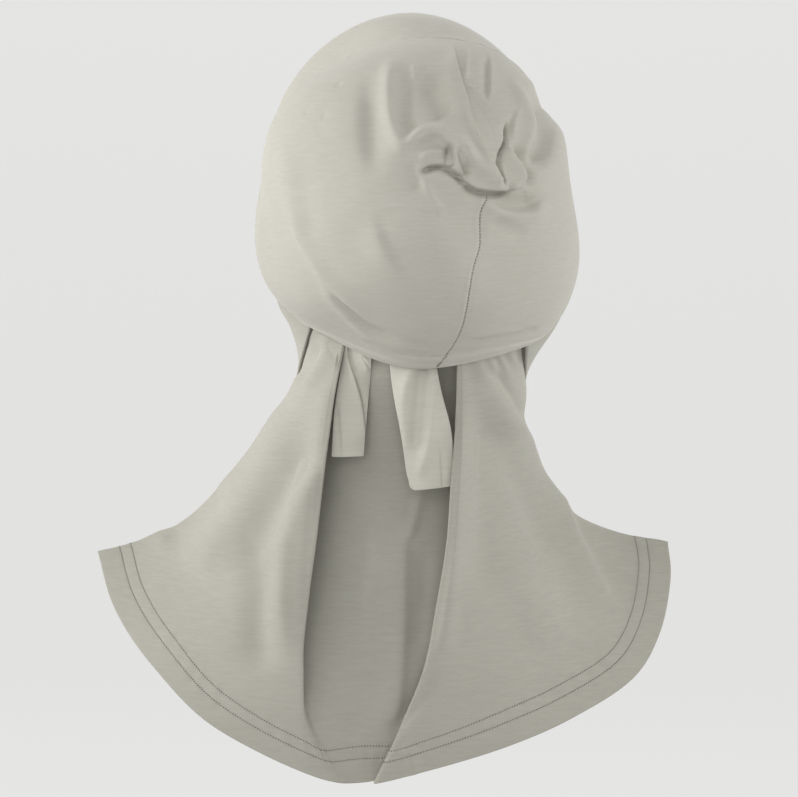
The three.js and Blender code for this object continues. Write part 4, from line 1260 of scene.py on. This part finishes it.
@dataclass
class Cape:
    """The back of the cape with its inverted fold, the neck cover, and the stitches of the hem."""

    shape: CapeShape
    cap: CapShape
    flap: int = 92
    edge: int = 8
    under: int = 6
    turn: int = 7
    recess: int = 46
    down: int = 118
    band: int = 36
    open_from: tuple[float, float] = (0.72, 0.94)
    open_reach: int = 18
    open_near: tuple[int, int] = (30, 12)
    hem_rise: float = 0.22
    hem_groove: float = 0.25
    groove_width: float = 0.8
    hem_ease: tuple[float, float] = (0.5, 1.0)
    pucker: float = 0.16
    pucker_width: float = 3.2
    pucker_wave: Wave = Wave(1.15, 1.7, 0.31, 1.0, 0.47, 1.1)
    gathered_overlap: float = 0.4
    recess_from: tuple[float, float] = (0.2, 0.4)
    gather: float = 0.55
    gather_down: float = 6.0
    gather_width: float = 14.0
    gather_wave: Wave = Wave(0.9, 1.3, 0.23, 0.6, 0.41, 0.7)
    inside_drop: float = 0.7
    stitch_lift: float = 0.10
    collar: tuple[CollarRow, ...] = (
        CollarRow(96.0, CapSizes.gather_right - COLLAR_SHARE, 1, 30),
        CollarRow(116.0, 4.0, 1, 44),
        CollarRow(150.0, 4.0, 2, 40),
        CollarRow(182.0, 6.3, 2, 40),
        CollarRow(212.0, 7.7, 2, 44),
        CollarRow(242.0, 7.7, 1, 30),
        CollarRow(264.0, CapSizes.gather_left + COLLAR_SHARE, 1, 0),
    )
    stitch: Thread = field(default_factory=lambda: Thread(0.80, 0.30, 1.70))

    def stations(self) -> tuple[Array, Array]:
        """The stretches across the back and the place in each, from left to right: flap, rolled
        edge, under layer and inner turn, the recess, and the same again mirrored."""
        counts = (self.flap, self.edge, self.under, self.turn)
        left = [np.linspace(0, 1, count, endpoint=False) for count in counts]
        kinds = [np.full(count, k) for k, count in enumerate(counts)]
        right = [1 - place[::-1] for place in left[:0:-1]] + [np.linspace(1 / self.flap, 1, self.flap)]
        mirrored = [Stretch.MIRROR - kind for kind in reversed(kinds)]
        middle = np.linspace(0, 1, self.recess + 1)
        return (np.concatenate([*kinds, np.full(len(middle), Stretch.RECESS), *mirrored]),
                np.concatenate([*left, middle, *right]))

    def pleat(self, at: Array) -> dict[Side, tuple[Array, ...]]:
        """Each side's edge, depth, overlap and roll at shares down the cape, in millimetres. The
        depth leaves room for the roll and the wall."""
        sizes = self.shape.sizes
        sides = {}
        for side, rows in ((Side.LEFT, PLEAT_LEFT), (Side.RIGHT, PLEAT_RIGHT)):
            roll = column(rows, "roll", at) * sizes.fold_roll
            depth = np.maximum(column(rows, "depth", at) * sizes.fold_depth, roll + self.cap.sizes.wall)
            overlap = column(rows, "overlap", at) * sizes.fold_overlap + roll / 2
            sides[side] = (column(rows, "edge", at) * sizes.fold_gap_half, depth, overlap, roll)
        return sides

    def profile(self, kind: Array, place: Array,
                sides: dict[Side, tuple[Array, ...]]) -> tuple[Array, Array]:
        """Distance across and depth of each station past the flaps: a half circle round the
        rolled edge, straight out under the flap, a half circle round the inner turn, and straight
        across the recess, eased from one side's depth to the other's.

        Args:
            kind: Stretch numbers, 1 to 7, broadcast with the rest.
            place: Place in the stretch from 0 to 1.
            sides: Each side's edge, depth, overlap and roll.
        Returns:
            Distance across and depth.
        """
        on_left = kind < Stretch.RECESS
        sign = np.where(on_left, -1.0, 1.0)
        left, right = sides[Side.LEFT], sides[Side.RIGHT]
        edge, depth, overlap, roll = (np.where(on_left, a, b) for a, b in zip(left, right))
        half = roll / 2
        step = np.where(on_left, kind, Stretch.MIRROR - kind)
        share = np.where(on_left, place, 1 - place)
        round_ = share * np.pi
        radius = (depth - roll) / 2
        bulge = np.minimum(half, radius)
        stretches = [step == Stretch.EDGE, step == Stretch.UNDER, step == Stretch.TURN]
        out = np.select(
            stretches,
            [half * (1 - np.sin(round_)), half + (overlap - half) * share, overlap + bulge * np.sin(round_)],
            0.0)
        deep = np.select(
            stretches,
            [half * (1 - np.cos(round_)), roll + 0 * share, roll + radius * (1 - np.cos(round_))], 0.0)
        flat = mix(left[0] - left[2], right[0] + right[2], place)
        floor = mix(left[1], right[1], smooth(0, 1, place))
        recess = kind == Stretch.RECESS
        return np.where(recess, flat, edge + sign * out), np.where(recess, floor, deep)

    def back(self) -> Array:
        """The back's outer face before its folds: the profile laid on the cape at every level, and
        its top moved to the cap's edge, where the cloth is gathered."""
        sizes = self.shape.sizes
        kind, place = self.stations()
        at = self.shape.levels(self.down, self.band)
        kind2, place2, at2 = kind[:, None], place[:, None], at[None]
        sides = self.pleat(at2)
        across, deep = self.profile(kind2, place2, sides)
        grid = self.shape.back_at(across, at2, deep)
        ends = {side: values[0] + side.value * values[3] / 2 for side, values in sides.items()}
        end_left, end_right = (self.shape.turn_at(ends[side], at2) for side in (Side.LEFT, Side.RIGHT))
        turn = np.where(kind2 == Stretch.FLAP, mix(-sizes.seam_turn, end_left, place2),
                        mix(end_right, sizes.seam_turn, place2))
        flaps = (kind2 == Stretch.FLAP) | (kind2 == Stretch.MIRROR)
        grid = self.opened(np.where(flaps[..., None], self.shape.point(turn, at2), grid), at)
        pinned = self.gathered(kind, place, {side: float(values[0][0, 0]) for side, values in sides.items()})
        return self.drawn_in(grid, pinned, at)

    def opened(self, grid: Array, at: Array) -> Array:
        """A face whose left fold opens out softly before the hem. There each station near the
        fold's edge moves to the mean of its neighbours, weighted by the squared cosine."""
        first, last = self.flap, self.flap + self.edge + self.under + self.turn
        index = np.arange(len(grid))
        far, close = self.open_near
        near = smooth(first - far, first - close, index) * smooth(last + far, last + close, index)
        share = near[:, None] * smooth(*self.open_from, at)
        weights = np.cos(np.linspace(-0.5, 0.5, 2 * self.open_reach + 3)[1:-1] * np.pi) ** 2
        padded = np.pad(grid, ((self.open_reach, self.open_reach), (0, 0), (0, 0)), mode="edge")
        mean = sum(w * padded[k:k + len(grid)] for k, w in enumerate(weights / weights.sum()))
        return mix(grid, mean, share[..., None])

    def drawn_in(self, grid: Array, pinned: Array, at: Array) -> Array:
        """A face whose top is moved to the cap's edge: by all of the way at the top and by none of
        it from the gather's share on. The cloth comes in to the neck, as the square of the hold,
        sooner than it comes down."""
        hold = 1 - smooth(0, self.shape.sizes.gather_share, at)
        ways = np.stack([hold**2, hold**2, hold], -1)
        return grid + (pinned - grid[:, 0])[:, None] * ways[None]

    def gathered(self, kind: Array, place: Array, edges: dict[Side, float]) -> Array:
        """The same stations on the cap's lower edge, inside the band, in shallow layers."""
        sizes = self.shape.sizes
        inset = self.cap.sizes.band_wall + self.cap.sizes.clearance
        half = sizes.fold_roll / 2
        under = half + sizes.fold_overlap * self.gathered_overlap
        shallow = sizes.fold_roll + self.cap.sizes.wall + sizes.tie_room
        flat = np.ones(kind.shape)
        sides = {side: tuple(size * flat for size in (edge, shallow, under, sizes.fold_roll))
                 for side, edge in edges.items()}
        across, set_in = self.profile(kind, place, sides)
        hours = (self.cap.sizes.gather_left, self.cap.sizes.gather_right)
        end_left, end_right = (self.cap.point(hour, 1.0, fine=False)[..., 0] for hour in hours)
        left, right = kind == Stretch.FLAP, kind == Stretch.MIRROR
        across = np.where(left, mix(end_left, edges[Side.LEFT] - half, place), across)
        across = np.where(right, mix(edges[Side.RIGHT] + half, end_right, place), across)
        return self.cap.rim_at(across, inset + np.where(left | right, 0.0, set_in))

    def neck(self) -> Array:
        """The neck cover's outer face: its top line on the cap, opening into the cape's front."""
        spans = [k + np.arange(row.steps) / row.steps for k, row in enumerate(self.collar[:-1])]
        places = np.append(np.concatenate(spans), len(self.collar) - 1)
        index = np.minimum(np.floor(places).astype(int), len(self.collar) - 2)
        s = places - index
        turns, hours, outs = (np.array([getattr(row, name) for row in self.collar], float)
                              for name in ("turn", "hour", "out"))
        turn, hour, out = (mix(col[index], col[index + 1], s) for col in (turns, hours, outs))
        gap = self.cap.sizes.seam_gap / 2 / self.cap.sizes.ball
        inside = np.clip(hour, self.cap.sizes.ear_right + gap * 2, self.cap.sizes.ear_left - gap * 2)
        pinned = self.cap.point(inside, np.minimum(out + gap * 4, 2), fine=False)
        at = self.shape.levels(self.down, self.band)
        free = self.shape.point(turn[:, None], at[None])
        return self.drawn_in(free, pinned, at)

    def hemmed(self, grid: Array, relief_height: Array) -> tuple[Array, Array, Array]:
        """A face with its folds and its hem: the turned band stands proud by half a wall, and each
        row of stitches draws a groove with small puckers beside it.

        Args:
            grid: The face, shape (u, v, 3), with the hem at the last v.
            relief_height: Height of the folds at each point.
        Returns:
            The face, its outward normals, and each point's distance from the hem.
        """
        sizes = self.shape.sizes
        middle = np.array([0.0, 0.0, -self.inside_drop * sizes.back_drop])
        run = Cloth.run(grid, 1)
        from_hem = run[:, -1:] - run
        normal = Cloth.normals(grid, middle)
        along = Cloth.run(grid, 0)[:, -1:]
        pucker = self.pucker_wave.at(along)
        above, below = self.hem_ease
        band = self.hem_rise * smooth(sizes.hem_band + above, sizes.hem_band - below, from_hem)
        for row in (sizes.stitch_low, sizes.stitch_high):
            band = band - self.hem_groove * np.exp(-(((from_hem - row) / self.groove_width) ** 2))
            band = band + self.pucker * pucker * np.exp(-(((from_hem - row) / self.pucker_width) ** 2))
        face = grid + normal * (relief_height + band)[..., None]
        return face, Cloth.normals(face, middle), from_hem

    def gathers(self, grid: Array) -> Array:
        """Fine upright gathers under the cap's edge: a wave across the cloth that dies away down it."""
        run = Cloth.run(grid, 1)
        wave = self.gather_wave.at(grid[:, :1, 0])
        return self.gather * wave * np.exp(-(((run - self.gather_down) / self.gather_width) ** 2))

    def faces(self) -> tuple[tuple[Array, Array, Array], ...]:
        """The outer faces of the back and of the neck cover with their folds and hem, each with
        its normals and its distances from the hem."""
        kind, _ = self.stations()
        grid = self.back()
        across, up = grid[..., 0], grid[..., 2]
        inner = ((kind > Stretch.UNDER) & (kind < Stretch.MIRROR - Stretch.UNDER))[:, None]
        outer = ((kind == Stretch.FLAP) | (kind == Stretch.MIRROR))[:, None]
        folds = relief(CAPE_FOLDS, across, up)[..., 0]
        grid[..., 1] += np.where(outer, 0.0, np.maximum(-folds, 0))
        height = folds * outer
        lower = smooth(*self.recess_from, self.shape.levels(self.down, self.band))
        height += relief(RECESS_FOLDS, across, up)[..., 0] * inner * lower
        height += self.gathers(grid) * outer
        front = self.neck()
        return self.hemmed(grid, height), self.hemmed(front, np.zeros(front.shape[:2]))

    def hem_stitches(self, hem: HemLine, faces: tuple[tuple[Array, Array, Array], ...]) -> Item:
        """One row of stitches along the hem of all the faces."""
        sizes = self.shape.sizes
        value = sizes.stitch_low if hem is HemLine.LOW else sizes.stitch_high
        sewn = []
        for face, normal, away in faces:
            line = Cloth.contour(face, away, value)
            outs = Cloth.contour(normal, away, value)
            sewn.append(self.stitch.along(line, outs))
        places, ways, outs = (np.concatenate(parts) for parts in zip(*sewn))
        outs = outs / np.linalg.norm(outs, axis=-1, keepdims=True)
        return self.stitch.sew(f"hem_stitches_{hem.value}", places + outs * self.stitch_lift, ways, outs)

    def build(self, finishes: Finishes) -> dict[str, Item]:
        """The cape's back, the neck cover and the hem's stitches."""
        faces = self.faces()
        pieces = {}
        for node, (face, _, _) in zip(("cape_back", "neck_cover"), faces):
            item = Cloth.sheet(f"{node}_cloth", face, self.cap.sizes.wall, turned=True)
            pieces[node] = dress(item, finishes.cape, "cape_jersey", node)
        for hem in HemLine:
            stitches = self.hem_stitches(hem, faces)
            pieces[f"stitches_{hem.value}"] = dress(stitches, finishes.thread, "cape_jersey")
        return pieces


@dataclass
class Tie:
    """One of the two short ties that hang under the pouch."""

    cap: CapShape
    shape: CapeShape
    side: Side
    table: tuple[TieRow, ...]
    top_across: float
    length: float
    width: float
    creases: tuple[Crease, ...]
    corner: float
    slant: float
    wall: float = 1.6
    loose_from: float = 0.45
    bow: float = 0.10
    corner_from: float = 0.86
    fade_in: tuple[float, float] = (0.08, 0.04)
    fade_out: tuple[float, float] = (0.10, 0.06)
    rows: int = 150
    columns: int = 60

    def surface(self) -> Array:
        """The outer face: down the tie's length and across its width, following the cap's lower
        edge at the top, with a bow across it, rounded end corners and a soft twist."""
        sizes = self.cap.sizes
        inset = sizes.band_wall + self.shape.sizes.fold_roll + sizes.wall + 2 * sizes.clearance
        top = self.cap.rim_at(np.array(self.top_across), inset)
        u = np.linspace(0, 1, self.rows)[:, None]
        v = np.linspace(0, 1, self.columns)[None]
        middle = self.top_across + column(self.table, "across", u) * self.width
        reach = column(self.table, "width", u) * self.width
        across = middle + reach * (v - 0.5)
        start = self.cap.rim_at(across, inset)
        loose = smooth(0, self.loose_from, u)
        w = 2 * v - 1
        bow = self.bow * self.width * (1 - w**2) * loose
        fold = self.folds(u, w)
        back = mix(start[..., 1], top[1], loose) + column(self.table, "back", u) * self.width - bow - fold
        inward = np.minimum((w + 1) / 2 * self.width, self.corner)
        arc = self.corner - np.sqrt(self.corner**2 - (self.corner - inward) ** 2)
        lift = (arc + self.slant * (w + 1) / 2) * smooth(self.corner_from, 1, u)
        down = mix(start[..., 2], top[2], loose) - u * self.length + lift
        return np.stack([across, back, down], -1)

    def folds(self, u: Array, w: Array) -> Array:
        """Depth of the tie's own folds at shares down, u, and across from -1 to 1, w. Each fold
        is a ridge or a trough along a line w(u), with its own width on either side."""
        total = np.zeros(np.broadcast_shapes(u.shape, w.shape))
        for crease in self.creases:
            line = through(np.array(crease.down), np.array(crease.across), u)
            width = np.where(w < line, crease.left, crease.right)
            start, end = crease.down[0], crease.down[-1]
            fade = smooth(start - self.fade_in[0], start + self.fade_in[1], u)
            fade = fade * smooth(end + self.fade_out[0], end - self.fade_out[1], u)
            total = total + crease.height * fade * np.exp(-(((w - line) / width) ** 2))
        return total

    def build(self, finishes: Finishes) -> Item:
        """The tie's wall, with its finish."""
        name = f"tie_{self.side.name.lower()}"
        item = Cloth.sheet(f"{name}_cloth", self.surface(), self.wall)
        return dress(item, finishes.tie, "tie_jersey", name)


@dataclass(frozen=True)
class Lamp:
    """A soft box: its place and its width and height, in metres, and its power in watts."""

    name: str
    place: tuple[float, float, float]
    size: tuple[float, float]
    power: float


@dataclass
class Studio:
    """The pale surroundings, the lights and the camera of the picture."""

    focus: tuple[float, float, float] = (0.0, 0.0, -0.227)
    distance: float = 1.6
    tilt: float = 5.0
    pixel: float = 0.0006
    picture: tuple[int, int] = (798, 797)
    sensor: float = 36.0
    floor: float = -0.95
    floor_reach: float = 3.0
    floor_sweep: float = 1.2
    wall_top: float = 5.0
    wall_foot: float = 1.5
    pale: tuple[float, float, float] = (0.80, 0.80, 0.79)
    glow: float = 0.80
    shade: float = 0.20
    paper_grain: float = 30.0
    around: tuple[tuple[float, float], ...] = ((0.52, 0.60), (0.38, 1.05), (1.15, 0.3))
    lamps: tuple[Lamp, ...] = (
        Lamp("left", (-2.2, 0.1, 0.5), (1.2, 1.8), 44.0),
        Lamp("right", (2.2, 0.1, 0.5), (1.2, 1.8), 26.0),
        Lamp("high_left", (-1.3, -1.3, 1.4), (1.2, 1.2), 9.0),
        Lamp("high_right", (1.3, -1.3, 1.4), (1.2, 1.2), 4.0),
        Lamp("behind", (-0.3, -2.4, 0.2), (1.6, 1.6), 20.0),
    )

    def camera(self) -> None:
        """A camera straight behind, tilted down, whose lens gives one pixel its size at the focus."""
        data = bpy.data.cameras.new("camera")
        data.sensor_width = self.sensor
        data.sensor_fit = "HORIZONTAL"
        data.lens = self.sensor * self.distance / (self.picture[0] * self.pixel)
        tilt = math.radians(self.tilt)
        away = Vector((0, math.cos(tilt), -math.sin(tilt)))
        item = bpy.data.objects.new("camera", data)
        item.location = Vector(self.focus) - away * self.distance
        item.rotation_euler = away.to_track_quat("-Z", "Y").to_euler()
        bpy.context.scene.collection.objects.link(item)
        bpy.context.scene.camera = item

    def backdrop(self) -> None:
        """A round pale floor that curves up into a wall all round: the radius runs out along the
        floor, then round a quarter circle, then straight up."""
        flat, sweep = self.floor_reach, self.floor_sweep
        bend = np.linspace(0, np.pi / 2, 16)[1:]
        wall = np.full(6, flat + sweep)
        out = np.concatenate([np.linspace(0, flat, 12), flat + sweep * np.sin(bend), wall])
        upright = np.linspace(self.wall_foot, self.wall_top, 6)
        up = np.concatenate([np.zeros(12), sweep - sweep * np.cos(bend), upright])
        angle = np.linspace(0, 2 * np.pi, 65)
        grid = np.stack([np.outer(np.cos(angle), out), np.outer(np.sin(angle), out),
                         np.broadcast_to(up + self.floor, (len(angle), len(out)))], -1)
        item = Cloth.mesh("backdrop", grid.reshape(-1, 3) / MM, Cloth.quads(len(angle), len(out)))
        recipe = Recipe("pale_paper")
        paper = recipe.noise((self.paper_grain,) * 3, 2.0, 0.5)
        recipe.links.new(recipe.bump(paper, 0.02, 0.001), recipe.shader["Normal"])
        recipe.shader["Roughness"].default_value = 1.0
        recipe.shader["Specular IOR Level"].default_value = 0.0
        recipe.shader["Base Color"].default_value = (self.shade, self.shade, self.shade, 1)
        recipe.shader["Emission Color"].default_value = (*self.pale, 1)
        recipe.shader["Emission Strength"].default_value = self.glow
        item.data.materials.append(recipe.material)
        item.visible_diffuse = False
        item.visible_shadow = False

    def surround(self) -> None:
        """Soft light from all round: over the six ways along the axes, the sum of each way's
        strength times the square of the light's share along that way."""
        world = bpy.data.worlds.new("studio")
        world.use_nodes = True
        nodes, links = world.node_tree.nodes, world.node_tree.links
        parts = nodes.new("ShaderNodeSeparateXYZ")
        links.new(nodes.new("ShaderNodeTexCoord").outputs["Generated"], parts.inputs["Vector"])

        def sum_of(kind: str, first: Socket, second: float | Socket) -> Socket:
            """One step of arithmetic on the light's direction."""
            step = nodes.new("ShaderNodeMath")
            step.operation = kind
            links.new(first, step.inputs[0])
            if isinstance(second, float):
                step.inputs[1].default_value = second
            else:
                links.new(second, step.inputs[1])
            return step.outputs[0]

        total = None
        for way, strengths in zip(parts.outputs, self.around):
            for sign, strength in zip((-1.0, 1.0), strengths):
                share = sum_of("MAXIMUM", sum_of("MULTIPLY", way, sign), 0.0)
                part = sum_of("MULTIPLY", sum_of("MULTIPLY", share, share), strength)
                total = part if total is None else sum_of("ADD", total, part)
        nodes["Background"].inputs["Color"].default_value = (1, 1, 1, 1)
        links.new(total, nodes["Background"].inputs["Strength"])
        bpy.context.scene.world = world

    def light(self, lamp: Lamp) -> None:
        """A soft box at its place, turned to the focus."""
        data = bpy.data.lights.new(lamp.name, "AREA")
        data.shape = "RECTANGLE"
        data.size, data.size_y = lamp.size
        data.energy = lamp.power
        item = bpy.data.objects.new(lamp.name, data)
        item.location = lamp.place
        item.rotation_euler = (Vector(self.focus) - Vector(lamp.place)).to_track_quat("-Z", "Y").to_euler()
        bpy.context.scene.collection.objects.link(item)

    def build(self) -> None:
        """Camera, surroundings and lights."""
        scene = bpy.context.scene
        scene.view_settings.view_transform = "Standard"
        self.surround()
        self.camera()
        self.backdrop()
        for lamp in self.lamps:
            self.light(lamp)


def main() -> None:
    logging.basicConfig(level=logging.INFO, format="%(name)s %(message)s")
    Studio().build()
    finishes = Finishes()
    cap = CapShape(CapSizes())
    cape_shape = CapeShape(CapeSizes(), cap)
    pouch = Pouch(cap).build(finishes)
    crown = Crown(cap).build(finishes)
    band = NapeBand(cap).build(finishes)
    cape = Cape(cape_shape, cap).build(finishes)
    ties = {
        "left": Tie(cap, cape_shape, Side.LEFT, TIE_LEFT_ROWS, top_across=-22.5, length=68.0, width=19.5,
                    creases=TIE_LEFT_CREASES, corner=0.8, slant=0.5).build(finishes),
        "right": Tie(cap, cape_shape, Side.RIGHT, TIE_RIGHT_ROWS, top_across=7.0, length=79.0, width=29.0,
                     creases=TIE_RIGHT_CREASES, corner=5.0, slant=2.6).build(finishes),
    }
    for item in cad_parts.values():
        item.data.materials.clear()
        item.data.materials.append(finishes.cap)


if __name__ == "__main__":
    main()
